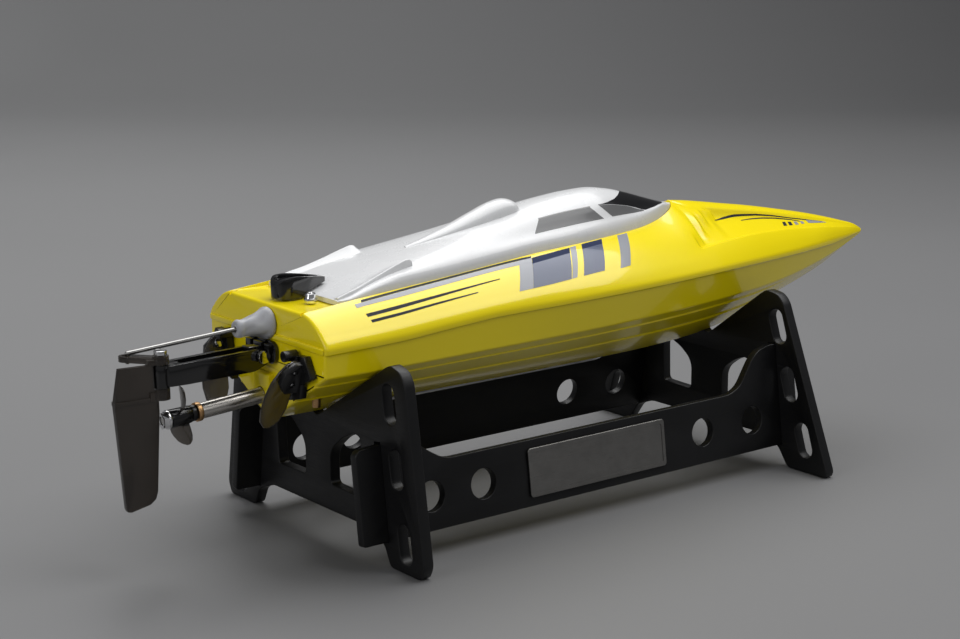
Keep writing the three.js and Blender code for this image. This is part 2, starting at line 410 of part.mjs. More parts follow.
const motorCan = cut(join(rod(onShaft(MOTOR_X0), onShaft(MOTOR_X1), MOTOR_R, 28), rod(onShaft(61.4), onShaft(MOTOR_X0 + 1), 3.2, 18)), rod(onShaft(66), onShaft(99), 11.1, 28), rod(onShaft(58), onShaft(70), 1.6, 14));
const motorCap = cut(join(rod(onShaft(95.4), onShaft(98.4), 11.8, 24), rod(onShaft(98), onShaft(100.2), 4, 16), box(98, 102.4, -9, -7.4, 72, 76), box(98, 102.4, 7.4, 9, 72, 76)), rod(onShaft(92), onShaft(98.9), 1.15 + GAP, 14));
const vee = (x, y, off) => keelZ(x) + (chineZ(x) - keelZ(x)) * (y / chineY(x)) + off;
const mountHalf = [[0, vee(62, 0, 3.2)], [21, vee(62, 21, 3.2)], [21, 72], [15, 84], [8, 87.2], [0, 87.8]];
const fullOf = (half) => [...half, ...half.slice(1, -1).map((p) => [-p[0], p[1]]).reverse()];
const motorMount = cut(prism(fullOf(mountHalf), 'yz', 59.9, 62.2), rod(onShaft(55), onShaft(70), 5.2, 22), ...[8, -8].map((y) => rod([50, y, shaftZ(62) + 0.4], [70, y, shaftZ(62) + 0.4], 1, 10)));
const coolingJacket = cut(join(rod(onShaft(70), onShaft(89), 14.2, 30), rod([74, -5, 84], [74, -5, 90], 1.3, 10), rod([85, 5, 85], [85, 5, 91], 1.3, 10)), rod(onShaft(66), onShaft(93), MOTOR_R + GAP, 30));
const hoseIn = cut(tube([[-12, -19, 69.5], [-9, -17, 73], [0, -11, 76.4], [14, -9.4, 77.6], [44, -8.6, 80], [62, -7.4, 91], [70, -5.6, 94], [74, -5, 91.5], [74, -5, 87.6]], 1.9, 8, 22), rod([-12, -19, 64], [-12, -19, 71.2], 1.45, 10), rod([74, -5, 84], [74, -5, 90.3], 1.6, 10));
const hoseOut = cut(tube([[85, 5, 88.2], [85, 5, 92], [80, 6.4, 95], [68, 8, 93.6], [48, 8, 90.5], [25, 1.5, 89.4], [6, -8, 89.4], [-5, -13, 90.5], [-10.2, -14.1, 94], [NOZZLE[0], NOZZLE[1], 98.4]], 1.9, 8, 26), rod([85, 5, 84], [85, 5, 91.3], 1.6, 10), rod([NOZZLE[0], NOZZLE[1], 95.4], [NOZZLE[0], NOZZLE[1], 101], 1.35, 10));
const waterInlet = cut(join(rod([-12, -19, 61.6], [-12, -19, 70.6], 1.0, 12), rod([-12, -19, 61.4], [-12, -19, 67], 1.75, 14)));
const outletNozzle = cut(join(rod([...NOZZLE, 103.3], [...NOZZLE, 105.2], 2.7, 6), rod([...NOZZLE, 105], [...NOZZLE, 107.2], 2.2, 18), rod([...NOZZLE, 96], [...NOZZLE, 104], 1.0, 12), rod([...NOZZLE, 99.6], [...NOZZLE, 104], 1.5, 14)), rod([...NOZZLE, 104.4], [...NOZZLE, 108], 1.3, 14));

// ---------------------------------------------------------------- steering
const slotAngle = Math.atan2(ARM[1], ARM[0]);
const armSlot = (px, py) => stadium(px + Math.cos(slotAngle) * (ARM_R + 0.45), py + Math.sin(slotAngle) * (ARM_R + 0.45), 0.55, 0.8 + 0.4, slotAngle, 6);
const armPlan = (px, py, r0, r1) => {
  const p = [], L = ARM_R + 0.6;
  for (let i = 0; i <= 8; i++) { const a = slotAngle - Math.PI / 2 + (i / 8) * Math.PI; p.push([px + L * Math.cos(slotAngle) + r1 * Math.cos(a), py + L * Math.sin(slotAngle) + r1 * Math.sin(a)]); }
  for (let i = 0; i <= 8; i++) { const a = slotAngle + Math.PI / 2 + (i / 8) * Math.PI; p.push([px + r0 * Math.cos(a), py + r0 * Math.sin(a)]); }
  return p;
};
const servo = cut(join(box(12.2, 35.4, -28.4, -16.6, 73.4, 94.2), box(7.6, 40, -28.4, -16.6, 88.2, 90.6), rod([HORN_X, HORN_Y, 93], [HORN_X, HORN_Y, 95.6], 5.6, 20), rod([HORN_X, HORN_Y, 94], [HORN_X, HORN_Y, 98], 1.9, 16)), box(5, 14, -40, -28.35, 70, 80));
const hornPlate = cut(prism(armPlan(HORN_X, HORN_Y, 3.6, 2.9), 'xy', 96, 97.8, [armSlot(HORN_X, HORN_Y)]), rod([HORN_X, HORN_Y, 90], [HORN_X, HORN_Y, 105], 1.9 + GAP, 16));
const hornScrew = rod([HORN_X, HORN_Y, 98.3], [HORN_X, HORN_Y, 99.8], 2.6, 16);
const servoMount = cut(join(
  prism([[-31, vee(8.5, 31, 3)], [-13, vee(8.5, 13, 3)], [-13, 87.8], [-31, 87.8]], 'yz', 7.2, 10.4),
  prism([[-31, vee(38, 31, 3)], [-13, vee(38, 13, 3)], [-13, 87.8], [-31, 87.8]], 'yz', 36.6, 39.8),
  box(8, 39, -15.9, -13.4, 70, 76)), box(12, 35.7, -28.7, -16.3, 60, 99));
const pushrod = join(
  rod(ROD_AFT, ROD_FWD, ROD_R, 10), rod([ROD_AFT[0], ROD_AFT[1], 84], [ROD_AFT[0], ROD_AFT[1], ROD_AFT[2] + 0.1], 0.8, 8),
  rod([ROD_FWD[0], ROD_FWD[1], 95.4], [ROD_FWD[0], ROD_FWD[1], ROD_FWD[2] + 0.1], 0.8, 8),
  solid(new THREE.SphereGeometry(ROD_R, 8, 6).translate(...ROD_AFT)), solid(new THREE.SphereGeometry(ROD_R, 8, 6).translate(...ROD_FWD)));
const bootAt = (x, r) => { const c = rodAt(x), p = []; for (let i = 0; i < 20; i++) { const a = (i / 20) * Math.PI * 2; p.push([x, c[1] + r * Math.cos(a), c[2] + r * Math.sin(a)]); } return p; };
const rodBoot = cut(
  loft([[-37.2, 2.7], [-36.6, 3.2], [-35, 3.4], [-28, 5], [-26.4, 5.7], [-25.6, 6.3], [-23.9, 6.3]].map(([x, r]) => bootAt(x, r))),
  loft([[-38, 1.3], [-34, 1.4], [-26, 3.6], [-23, 5.2]].map(([x, r]) => bootAt(x, r))));
// rudder: blade, hinge lugs and tiller moulded as one piece
const bladeOut = [[-74.9, 84.9], [-89.4, 85.4], [-92, 71.5], [-88.8, 29.2], [-88.2, 27.9], [-86.6, 27.6], [-78.4, 29.2], [-76, 31], [-75, 34], [-72.9, 66], [-73, 70.9], [-73, 74.9], [-74.9, 75.3]];
const rudder = cut(join(
  prism(bladeOut, 'xz', -1.1, 1.1),
  rod([RUDDER_X, 0, 70.6], [RUDDER_X, 0, 75], 3.3, 20), box(-77, -71.4, -2, 2, 70.6, 74.2),
  rod([RUDDER_X, 0, 84.8], [RUDDER_X, 0, 88], 3.3, 20), box(-77, -71.4, -1.5, 1.5, 84.8, 87),
  prism([[-91.9, 72.6], [-91.9, 71], [-72, 70.6], [-72, 72.2]], 'xz', -1.7, 1.7),
  prism(armPlan(RUDDER_X, 0, 3.2, 2.9), 'xy', 85, 87.2)),
  prism(armSlot(RUDDER_X, 0), 'xy', 80, 90),
  rod([RUDDER_X, 0, 60], [RUDDER_X, 0, 95], 1.1 + GAP, 16));
const rudderPin = join(rod([RUDDER_X, 0, 70.2], [RUDDER_X, 0, 88.6], 1.1, 14), rod([RUDDER_X, 0, 88.4], [RUDDER_X, 0, 90.2], 2.6, 18));
// arm: two cheeks and the hinge knuckle
const cheek = rounded([[-71, 84.4], [-71, 76.2], [-62, 76], [-31.5, 76.4], [-26, 78.6], [-20.6 - 4, 80.2], [-24.6, 85.4]], 1.4, 2);
const rudderArm = cut(join(
  prism(cheek, 'xz', 3.2, 5), prism(cheek, 'xz', -5, -3.2),
  box(-69, -63.5, -4, 4, 76.2, 84.4), rod([RUDDER_X, 0, 75.4], [RUDDER_X, 0, 84.4], 3.3, 20), box(-60, -34, -3.4, 3.4, 76.4, 78.2)),
  rod([RUDDER_X, 0, 60], [RUDDER_X, 0, 95], 1.1 + GAP, 16), rod([-28.4, -10, 82.2], [-28.4, 10, 82.2], 1.2 + GAP, 14));
const armMount = cut(join(
  prism(rounded([[-8.6, 79], [8.6, 79], [10.6, 82], [10.4, 86.4], [8, 88.2], [-8, 88.2], [-10.4, 86.4], [-10.6, 82]], 1.6, 2), 'yz', -25.4, -23.8),
  box(-32.6, -25, -2.8, 2.8, 79.4, 86), box(-27.4, -24.6, -9, 9, 84, 87.4)),
  rod([-28.4, -10, 82.2], [-28.4, 10, 82.2], 1.2 + GAP, 14), rod([-28.4, -8, 82.2], [-28.4, -5, 82.2], 3.1, 14), box(-30, -24.2, -5.4, -2.9, 74, 90), box(-30, -24.2, 2.9, 5.4, 74, 90));
const clampScrew = join(rod([-28.4, -5.4, 82.2], [-28.4, 6.6, 82.2], 1.2, 14), rod([-28.4, -7.4, 82.2], [-28.4, -5.3, 82.2], 2.7, 18));

// ---------------------------------------------------------------- turn fins
const finTilt = Math.atan2(10.5, 28);
function finParts(s) {
  // drawn in the plane x / down, then tilted and set on its side of the boat
  const place = (body) => {
    const m = new THREE.Matrix4().makeTranslation(0, s * 30, 85).multiply(new THREE.Matrix4().makeRotationX(-s * finTilt));
    return solid(geometryOf(body).applyMatrix4(m));
  };
  const leaf = [[-24.6, -0.4], [-29.4, -0.2], [-32.4, -1.6], [-35, -4.4], [-37.6, -8.6], [-39.4, -14.5], [-40.2, -21], [-39.6, -26.5], [-37.4, -29.6], [-34.6, -30], [-31, -27.6], [-28.6, -22.6], [-27.6, -16], [-27.8, -11], [-24.6, -8.6]];
  const blade = place(prism(leaf, 'xz', -0.5, 0.5));
  const o = s > 0 ? 1 : -1;
  const cheekOut = [[-24.2, -0.2], [-29.5, 0], [-34, -3.2], [-35.4, -8], [-33, -12.4], [-24.2, -12.8]];
  const half = [[25.5, 86.2], [34, 87], [38.6, 79], [31.4, 75.2], [30.4, 69.4], [21.6, 67.2], [22.6, 73]];
  const base = prism(half.map((p) => [o * p[0], p[1]]).reverse(), 'yz', -27, -23.9);
  const inner = o > 0 ? place(prism(cheekOut, 'xz', 0.85, 3.6)) : place(prism(cheekOut, 'xz', -3.6, -0.85));
  let bracket = join(base, inner, rod([-25, o * 25.4, 86.2], [-31, o * 25.4, 86.2], 2.2, 16));
  bracket = cut(bracket, place(prism(leaf.map((p) => [p[0] * 1, p[1]]), 'xz', -0.82, 0.82)), place(box(-60, -23.9, -0.82, 0.82, -14, 2)));
  const parts = bracket.decompose().sort((a, b) => b.volume() - a.volume());
  bracket = parts[0];
  const screws = [];
  for (const [x, v] of [[-29.5, -3.6], [-29.8, -9]]) {
    const a = o > 0 ? [x, -1.9, v] : [x, 1.9, v], b = o > 0 ? [x, 3, v] : [x, -3, v];
    const shank = rod([x, a[1], v], b, 0.8, 10), head = o > 0 ? rod([x, -2, v], [x, -0.85, v], 1.9, 14) : rod([x, 2, v], [x, 0.85, v], 1.9, 14);
    screws.push(place(join(shank, head)));
  }
  const holes = [[-29.5, -3.6], [-29.8, -9]].map(([x, v]) => place(rod([x, -6, v], [x, 6, v], 0.8 + GAP, 10)));
  return { blade: cut(blade, ...holes), bracket: cut(bracket, ...holes), screws };
}
const finL = finParts(1), finR = finParts(-1);

// ---------------------------------------------------------------- electrics
const batteryTray = join(box(103, 175, -19.3, 19.3, 70.9, 72.1), box(103, 104.4, -19.3, 19.3, 71, 76), box(173.6, 175, -19.3, 19.3, 71, 76));
const battery = prism(rounded([[-17.2, 72.5], [17.2, 72.5], [17.2, 90.2], [-17.2, 90.2]], 4, 3), 'yz', 105.2, 171.6);
const batteryStrap = prism([[-19.2, 72.5], [-17.8, 72.5], [-17.8, 90.7], [17.8, 90.7], [17.8, 72.5], [19.2, 72.5], [19.2, 92.1], [-19.2, 92.1]], 'yz', 131, 145);
const controlUnit = prism(rounded([[11.6, 75], [25, 75], [30, 79], [30, 91.5], [11.6, 91.5]], 1.5, 2), 'yz', 9, 49);
const controlPad = prism([[12, vee(28, 12, 3)], [27.5, vee(28, 27.5, 3)], [24.6, 74.6], [12, 74.6]].map((p) => p), 'yz', 11, 47);
const bowFoam = loft([200, 232, 262].map((x) => { return ringOf(x, [[0, keelZ(x) + 8], [chineY(x) * 0.62, chineZ(x) - 1], [chineY(x) * 0.66, railZ(x) + 1], [0, railZ(x) + 4]]); }));

// ---------------------------------------------------------------- stand
const ovals = (pts, a) => pts.map(([y, z]) => stadium(y, z, 4.2, 4.1, a, 5));
function endPlate(x0, x1, outer, windows, oval, tilt, railY0) {
  const full = [...outer, ...mirrorY(outer).slice(0, -1)];
  let body = prism(rounded(full, 2.2, 1), 'yz', x0, x1);
  for (const w of [windows, mirrorY(windows)]) body = cut(body, prism(rounded(w, 2.4, 1), 'yz', x0 - 1, x1 + 1));
  for (const [y, z] of oval) for (const s of [1, -1]) body = cut(body, prism(stadium(s * y, z, 4.2, 4.1, Math.PI / 2 + s * tilt, 4), 'yz', x0 - 1, x1 + 1));
  return body;
}
const rearOuter = [[0, vee(2, 0, -1.5)], [1.4, vee(2, 0, -1.1)], [51, vee(2, 51, -0.85)], [54, 83.4], [60.5, 81.6], [63.6, 77], [74.9, 5.4], [72.4, 0], [52, 0], [47.8, 8.4], [36, 12.8]];
const frontOuter = [[0, 54.9], [1.4, 55.3], [34.3, 79.4], [38.4, 82.2], [46, 81], [49.6, 77.6], [79.6, 3], [78.6, 0], [55, 0], [48.5, 9], [38, 12.8]];
const rearWin = [[9.5, 24.4], [30.8, 24], [32.2, 49], [27.6, 50.2], [18.4, 46], [11.5, 40.4], [9.5, 36.5]];
const frontWin = [[10.5, 24.8], [30, 25.4], [30.6, 45.4], [25.6, 47.6], [18.4, 44.6], [12.6, 40.4], [10.5, 36.5]];
let standRear = endPlate(REAR_X, REAR_X + STAND_T, rearOuter, rearWin, [[52.6, 67.4], [56.8, 41.6], [62.2, 12]], 0.16, 47.6);
let standFront = endPlate(FRONT_X, FRONT_X + STAND_T, frontOuter, frontWin, [[46.4, 65.8], [54.6, 39.8], [64.6, 15]], 0.32, 47.6);
function rail(s) {
  const side = [[-12, 9.9], [-12, 47], [-10, 49], [-1, 49.4], [8, 50.2], [15.5, 48.6], [23.7, 42.6], [31.1, 38.4], [192.7, 38.4], [199.5, 41], [208.4, 52.4], [213, 56], [220, 57.5], [227, 57.5], [235.5, 57], [235.5, 9.9]];
  const holes = [[22.8, 24.2], [49.4, 24.4], [174.4, 24.2], [205.7, 24.4]].map(([x, z]) => disc(x, z, 6.4, 14));
  let b = prism(side, 'xz', -RAIL_T / 2, RAIL_T / 2, holes.map((h) => [...h].reverse()));
  const m = new THREE.Matrix4().makeTranslation(0, s * (49.4 - 2), 24.1).multiply(new THREE.Matrix4().makeRotationX(s * RAIL_LEAN)).multiply(new THREE.Matrix4().makeTranslation(0, 0, -24.1));
  return { m, body: b };
}
const railBody = (s) => { const r = rail(s); return solid(geometryOf(r.body).applyMatrix4(r.m)); };
const railL = railBody(1), railR = railBody(-1);
for (const s of [1, -1]) {
  const { m } = rail(s);
  const slot = (x0, x1, z0, z1) => solid(new THREE.BoxGeometry(x1 - x0, RAIL_T + 2 * GAP, z1 - z0).translate((x0 + x1) / 2, 0, (z0 + z1) / 2).applyMatrix4(m));
  standRear = cut(standRear, slot(-2, 7, 9.9 - GAP, 50.6));
  standFront = cut(standFront, slot(222, 231, 9.9 - GAP, 57.9));
}
const plaqueFlat = prism(rounded([[72.8, 13.8], [150.2, 13.8], [150.2, 34.8], [72.8, 34.8]], 1.6, 3), 'xz', 0, 1);
const namePlate = solid(geometryOf(plaqueFlat).applyMatrix4(new THREE.Matrix4().multiplyMatrices(rail(-1).m, new THREE.Matrix4().makeTranslation(0, -RAIL_T / 2 - 1 - GAP, 0))));

// ---------------------------------------------------------------- assembly
const M = (color, roughness, metalness = 0) => new THREE.MeshStandardMaterial({ color, roughness, metalness });
const yellow = M(0xf3e312, 0.2), white = M(0xe9eaec, 0.28), black = M(0x0d0e10, 0.35), gloss = M(0x08090b, 0.12);
const smoke = M(0x2b2825, 0.25), steel = M(0x9d9b96, 0.3, 1), chrome = M(0xd6d7da, 0.12, 1), brass = M(0xa9733f, 0.35, 1);
const rubber = M(0xb9bcc0, 0.55), seal = M(0x16171a, 0.85), alu = M(0x9ea0a3, 0.4, 0.9), blue = M(0x22407a, 0.4), grey = M(0x55585c, 0.6), foam = M(0xdcdcd8, 0.9), silicone = M(0xc9ced2, 0.4), ivory = M(0xe6dcb4, 0.45), red = M(0x8c1f1d, 0.4);

const boat = new THREE.Group();
boat.position.x = SHIFT_X;
const add = (name, body, material, parent) => {
  const mesh = new THREE.Mesh(geometryOf(body), material);
  mesh.name = name;
  parent.add(mesh);
};
const stand = new THREE.Group(), hull = new THREE.Group(), drive = new THREE.Group(), steering = new THREE.Group(), electrics = new THREE.Group();
boat.add(stand, hull, drive, steering, electrics);

add('stand_rear_plate', standRear, black, stand);
add('stand_front_plate', standFront, black, stand);
add('stand_rail_left', railL, black, stand);
add('stand_rail_right', railR, black, stand);
add('stand_name_plate', namePlate, alu, stand);

add('hull_lower', hullLower, yellow, hull);
add('deck_upper', deckUpper, yellow, hull);
add('canopy', canopy, white, hull);
add('canopy_gasket', gasket, seal, hull);
add('latch_knob', latchKnob, gloss, hull);
add('latch_post', latchPost, steel, hull);

add('stuffing_tube', stuffingTube, steel, drive);
add('shaft_bush_rear', bushRear, brass, drive);
add('shaft_bush_front', bushFront, brass, drive);
add('drive_shaft', driveShaft, steel, drive);
add('thrust_washer', thrustWasher, ivory, drive);
add('propeller', propeller(), smoke, drive);
add('propeller_nut', propNut, chrome, drive);
add('shaft_coupling', coupling, alu, drive);
add('motor_rotor', motorRotor, steel, drive);
add('motor_can', motorCan, alu, drive);
add('motor_end_cap', motorCap, black, drive);
add('motor_mount', motorMount, black, drive);
add('cooling_jacket', coolingJacket, alu, drive);
add('cooling_hose_in', hoseIn, silicone, drive);
add('cooling_hose_out', hoseOut, silicone, drive);
add('water_inlet', waterInlet, brass, drive);
add('outlet_nozzle', outletNozzle, chrome, drive);

add('steering_servo', servo, black, steering);
add('servo_mount', servoMount, black, steering);
add('servo_horn', hornPlate, white, steering);
add('servo_horn_screw', hornScrew, steel, steering);
add('steering_pushrod', pushrod, chrome, steering);
add('pushrod_boot', rodBoot, rubber, steering);
add('rudder', rudder, smoke, steering);
add('rudder_pin', rudderPin, chrome, steering);
add('rudder_arm', rudderArm, black, steering);
add('rudder_arm_mount', armMount, black, steering);
add('rudder_clamp_screw', clampScrew, chrome, steering);
for (const [side, f] of [['left', finL], ['right', finR]]) {
  add(`turn_fin_${side}`, f.blade, smoke, hull);
  add(`fin_bracket_${side}`, f.bracket, black, hull);
  add(`fin_screw_upper_${side}`, f.screws[0], chrome, hull);
  add(`fin_screw_lower_${side}`, f.screws[1], chrome, hull);
}
add('battery_tray', batteryTray, black, electrics);
add('battery_pack', battery, blue, electrics);
add('battery_strap', batteryStrap, seal, electrics);
add('control_unit', controlUnit, black, electrics);
add('control_unit_pad', controlPad, foam, electrics);
add('bow_float', bowFoam, foam, electrics);

export default boat;
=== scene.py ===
import math

import bmesh
import bpy
import numpy as np
from mathutils import Matrix, Vector
from mathutils.bvhtree import BVHTree


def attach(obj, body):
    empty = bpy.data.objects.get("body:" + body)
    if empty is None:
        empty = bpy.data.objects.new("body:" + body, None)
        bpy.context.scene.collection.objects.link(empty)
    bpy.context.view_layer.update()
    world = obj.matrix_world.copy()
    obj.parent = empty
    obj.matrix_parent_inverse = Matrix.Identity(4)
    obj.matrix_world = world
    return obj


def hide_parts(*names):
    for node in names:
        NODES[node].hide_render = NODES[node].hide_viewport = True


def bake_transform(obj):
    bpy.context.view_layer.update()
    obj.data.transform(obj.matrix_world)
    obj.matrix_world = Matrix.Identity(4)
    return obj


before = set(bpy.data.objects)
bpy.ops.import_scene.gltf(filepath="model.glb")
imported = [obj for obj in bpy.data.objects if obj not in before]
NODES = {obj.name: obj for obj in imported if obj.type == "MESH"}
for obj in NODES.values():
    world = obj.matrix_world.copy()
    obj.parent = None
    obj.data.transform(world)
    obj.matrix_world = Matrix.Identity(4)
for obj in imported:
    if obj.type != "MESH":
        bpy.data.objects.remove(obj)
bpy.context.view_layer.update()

scene = bpy.context.scene
DG = bpy.context.evaluated_depsgraph_get

# The boat is drawn in millimetres with X = 0 at the aft face of the stand's rear plate, as the CAD source does.
SHIFT = -119.75


def W(p):
    return Vector(((p[0] + SHIFT) / 1000.0, p[1] / 1000.0, p[2] / 1000.0))


# ------------------------------------------------------------------ small tools
def curve(table):
    x = [p[0] for p in table]
    y = [p[1] for p in table]
    n = len(x)
    d = [(y[i + 1] - y[i]) / (x[i + 1] - x[i]) for i in range(n - 1)]
    m = [0.0] * n
    m[0], m[-1] = d[0], d[-1]
    for i in range(1, n - 1):
        if d[i - 1] * d[i] > 0:
            a, b = x[i] - x[i - 1], x[i + 1] - x[i]
            m[i] = 3 * (a + b) / ((2 * b + a) / d[i - 1] + (b + 2 * a) / d[i])

    def f(t):
        if t <= x[0]:
            return y[0]
        if t >= x[-1]:
            return y[-1]
        i = 0
        while t > x[i + 1]:
            i += 1
        h = x[i + 1] - x[i]
        s = (t - x[i]) / h
        s2, s3 = s * s, s * s * s
        return (2 * s3 - 3 * s2 + 1) * y[i] + (s3 - 2 * s2 + s) * h * m[i] + (3 * s2 - 2 * s3) * y[i + 1] + (s3 - s2) * h * m[i + 1]

    return f


def smooth(a, b, x):
    t = min(1.0, max(0.0, (x - a) / (b - a)))
    return t * t * (3 - 2 * t)


def lerp2(p, q, t):
    return [p[0] + (q[0] - p[0]) * t, p[1] + (q[1] - p[1]) * t]


def fillet(pts, radii, n=3, closed=False):
    """A 2-D polyline with each corner rounded by a quadratic arc of about that radius."""
    out, m = [], len(pts)
    for i, p in enumerate(pts):
        r = radii[i] if hasattr(radii, "__len__") else radii
        if (not closed and i in (0, m - 1)) or r <= 0:
            out.append(list(p))
            continue
        a, b = pts[(i - 1) % m], pts[(i + 1) % m]
        la = math.hypot(a[0] - p[0], a[1] - p[1]) or 1e-9
        lb = math.hypot(b[0] - p[0], b[1] - p[1]) or 1e-9
        r = min(r, la / 2.1, lb / 2.1)
        s, e = lerp2(p, a, r / la), lerp2(p, b, r / lb)
        for k in range(n + 1):
            t = k / n
            out.append([(1 - t) ** 2 * s[0] + 2 * t * (1 - t) * p[0] + t * t * e[0], (1 - t) ** 2 * s[1] + 2 * t * (1 - t) * p[1] + t * t * e[1]])
    return out


def build(name, verts, faces, merge=1e-7):
    """A mesh object from points in boat millimetres, with its faces turned outwards."""
    me = bpy.data.meshes.new(name)
    me.from_pydata([W(v) for v in verts], [], faces)
    bm = bmesh.new()
    bm.from_mesh(me)
    bmesh.ops.remove_doubles(bm, verts=bm.verts, dist=merge)
    bmesh.ops.recalc_face_normals(bm, faces=bm.faces)
    bm.to_mesh(me)
    bm.free()
    o = bpy.data.objects.new(name, me)
    scene.collection.objects.link(o)
    return o


def loft(name, rings, cap=True):
    """Rings of (x, y, z) in boat millimetres skinned into one closed body."""
    n = len(rings[0])
    verts = [p for r in rings for p in r]
    faces = []
    for i in range(len(rings) - 1):
        for j in range(n):
            k = (j + 1) % n
            faces.append((i * n + j, i * n + k, (i + 1) * n + k, (i + 1) * n + j))
    if cap:
        faces.append(tuple(range(n)))
        faces.append(tuple((len(rings) - 1) * n + j for j in range(n)))
    return build(name, verts, faces)


def grid_faces(nu, nv, flip=False, off=0):
    f = []
    for i in range(nu - 1):
        for j in range(nv - 1):
            a, b, c, d = i * nv + j, i * nv + j + 1, (i + 1) * nv + j + 1, (i + 1) * nv + j
            f.append(tuple(off + q for q in ((a, d, c, b) if flip else (a, b, c, d))))
    return f


def shade(o, angle=32):
    me = o.data
    for p in me.polygons:
        p.use_smooth = True
    me.set_sharp_from_angle(angle=math.radians(angle))
    return o


def boolean(a, b, op, keep=False):
    """a combined with b, applied, and b removed."""
    m = a.modifiers.new("b", "BOOLEAN")
    m.operation, m.object, m.solver = op, b, "MANIFOLD"
    bpy.context.view_layer.update()
    me = bpy.data.meshes.new_from_object(a.evaluated_get(DG()))
    a.modifiers.clear()
    old = a.data
    a.data = me
    bpy.data.meshes.remove(old)
    if not keep:
        bpy.data.objects.remove(b)
    return a


def apply(o):
    bpy.context.view_layer.update()
    me = bpy.data.meshes.new_from_object(o.evaluated_get(DG()))
    o.modifiers.clear()
    old = o.data
    o.data = me
    if old.users == 0:
        bpy.data.meshes.remove(old)
    return o


def bevel(o, width_mm, segments=2, angle=30, limit=True):
    m = o.modifiers.new("bevel", "BEVEL")
    m.width = width_mm / 1000.0
    m.segments = segments
    m.limit_method = "ANGLE" if limit else "NONE"
    m.angle_limit = math.radians(angle)
    m.harden_normals = False
    m.use_clamp_overlap = True
    return apply(o)


def prism(name, outline, plane, a, b, holes=(), edge=0.0, segments=2):
    """An outline pushed along the third axis, with holes and rounded edges, made from a flat filled curve."""
    cu = bpy.data.curves.new(name, "CURVE")
    cu.dimensions = "2D"
    cu.fill_mode = "BOTH"
    for pts in [outline, *holes]:
        sp = cu.splines.new("POLY")
        sp.points.add(len(pts) - 1)
        for q, p in zip(sp.points, pts):
            q.co = (p[0], p[1], 0, 1)
        sp.use_cyclic_u = True
    half = (b - a) / 2
    cu.extrude = max(1e-4, half - edge)
    cu.bevel_depth = edge
    cu.bevel_resolution = segments
    cu.offset = -edge
    o = bpy.data.objects.new(name, cu)
    scene.collection.objects.link(o)
    bpy.context.view_layer.update()
    me = bpy.data.meshes.new_from_object(o.evaluated_get(DG()))
    bpy.data.objects.remove(o)
    m = Matrix.Identity(4)
    if plane == "yz":
        m = Matrix(((0, 0, 1, 0), (1, 0, 0, 0), (0, 1, 0, 0), (0, 0, 0, 1)))
    if plane == "xz":
        m = Matrix(((1, 0, 0, 0), (0, 0, -1, 0), (0, 1, 0, 0), (0, 0, 0, 1)))
    c = (a + b) / 2
    place = {"xy": (0, 0, c), "yz": (c, 0, 0), "xz": (0, c, 0)}[plane]
    me.transform(m)
    me.transform(Matrix.Translation(place))
    me.transform(Matrix.Scale(0.001, 4) @ Matrix.Translation((SHIFT, 0, 0)))
    bm = bmesh.new()
    bm.from_mesh(me)
    bmesh.ops.remove_doubles(bm, verts=bm.verts, dist=1e-7)
    bmesh.ops.recalc_face_normals(bm, faces=bm.faces)
    bm.to_mesh(me)
    bm.free()
    o = bpy.data.objects.new(name, me)
    scene.collection.objects.link(o)
    return o


def turned(name, profile, a, b, seg=48, start=0.0):
    """profile of (radius, distance from a), turned about the line from a towards b. A radius of 0 closes an end."""
    a, b = Vector(a), Vector(b)
    d = (b - a).normalized()
    q = Vector((0, 0, 1)).rotation_difference(d)
    verts, faces, rows = [], [], []
    for r, h in profile:
        if r < 1e-6:
            rows.append([len(verts)])
            verts.append(a + q @ Vector((0, 0, h)))
        else:
            row = []
            for i in range(seg):
                t = start + 2 * math.pi * i / seg
                row.append(len(verts))
                verts.append(a + q @ Vector((r * math.cos(t), r * math.sin(t), h)))
            rows.append(row)
    for u, v in zip(rows, rows[1:]):
        for i in range(seg):
            k = (i + 1) % seg
            if len(u) == 1 and len(v) == 1:
                continue
            if len(u) == 1:
                faces.append((u[0], v[k], v[i]))
            elif len(v) == 1:
                faces.append((u[i], u[k], v[0]))
            else:
                faces.append((u[i], u[k], v[k], v[i]))
    if len(rows[0]) > 1 and len(rows[-1]) > 1 and profile[0] != profile[-1]:
        faces.append(tuple(rows[0]))
        faces.append(tuple(rows[-1]))
    return build(name, [tuple(v) for v in verts], faces)


def pipe(name, points, radius, seg=16, steps=8):
    """A round bar or tube wall along a smooth line through the points, in boat millimetres."""
    pts = [Vector(p) for p in points]
    line = []
    for i in range(len(pts) - 1):
        p0, p1, p2, p3 = pts[max(0, i - 1)], pts[i], pts[i + 1], pts[min(len(pts) - 1, i + 2)]
        for k in range(steps):
            t = k / steps
            line.append(0.5 * ((2 * p1) + (p2 - p0) * t + (2 * p0 - 5 * p1 + 4 * p2 - p3) * t * t + (3 * p1 - p0 - 3 * p2 + p3) * t ** 3))
    line.append(pts[-1])
    rings, up = [], None
    for i, p in enumerate(line):
        d = (line[min(len(line) - 1, i + 1)] - line[max(0, i - 1)]).normalized()
        if up is None:
            up = d.orthogonal().normalized()
        up = (up - d * up.dot(d)).normalized()
        side = d.cross(up)
        rings.append([tuple(p + (up * math.cos(t) + side * math.sin(t)) * radius) for t in [2 * math.pi * k / seg for k in range(seg)]])
    return loft(name, rings)


def join(name, parts):
    """Several closed bodies of one piece, kept as one object."""
    bm = bmesh.new()
    for p in parts:
        bm.from_mesh(p.data)
    me = bpy.data.meshes.new(name)
    bm.to_mesh(me)
    bm.free()
    for p in parts:
        bpy.data.objects.remove(p)
    o = bpy.data.objects.new(name, me)
    scene.collection.objects.link(o)
    return o


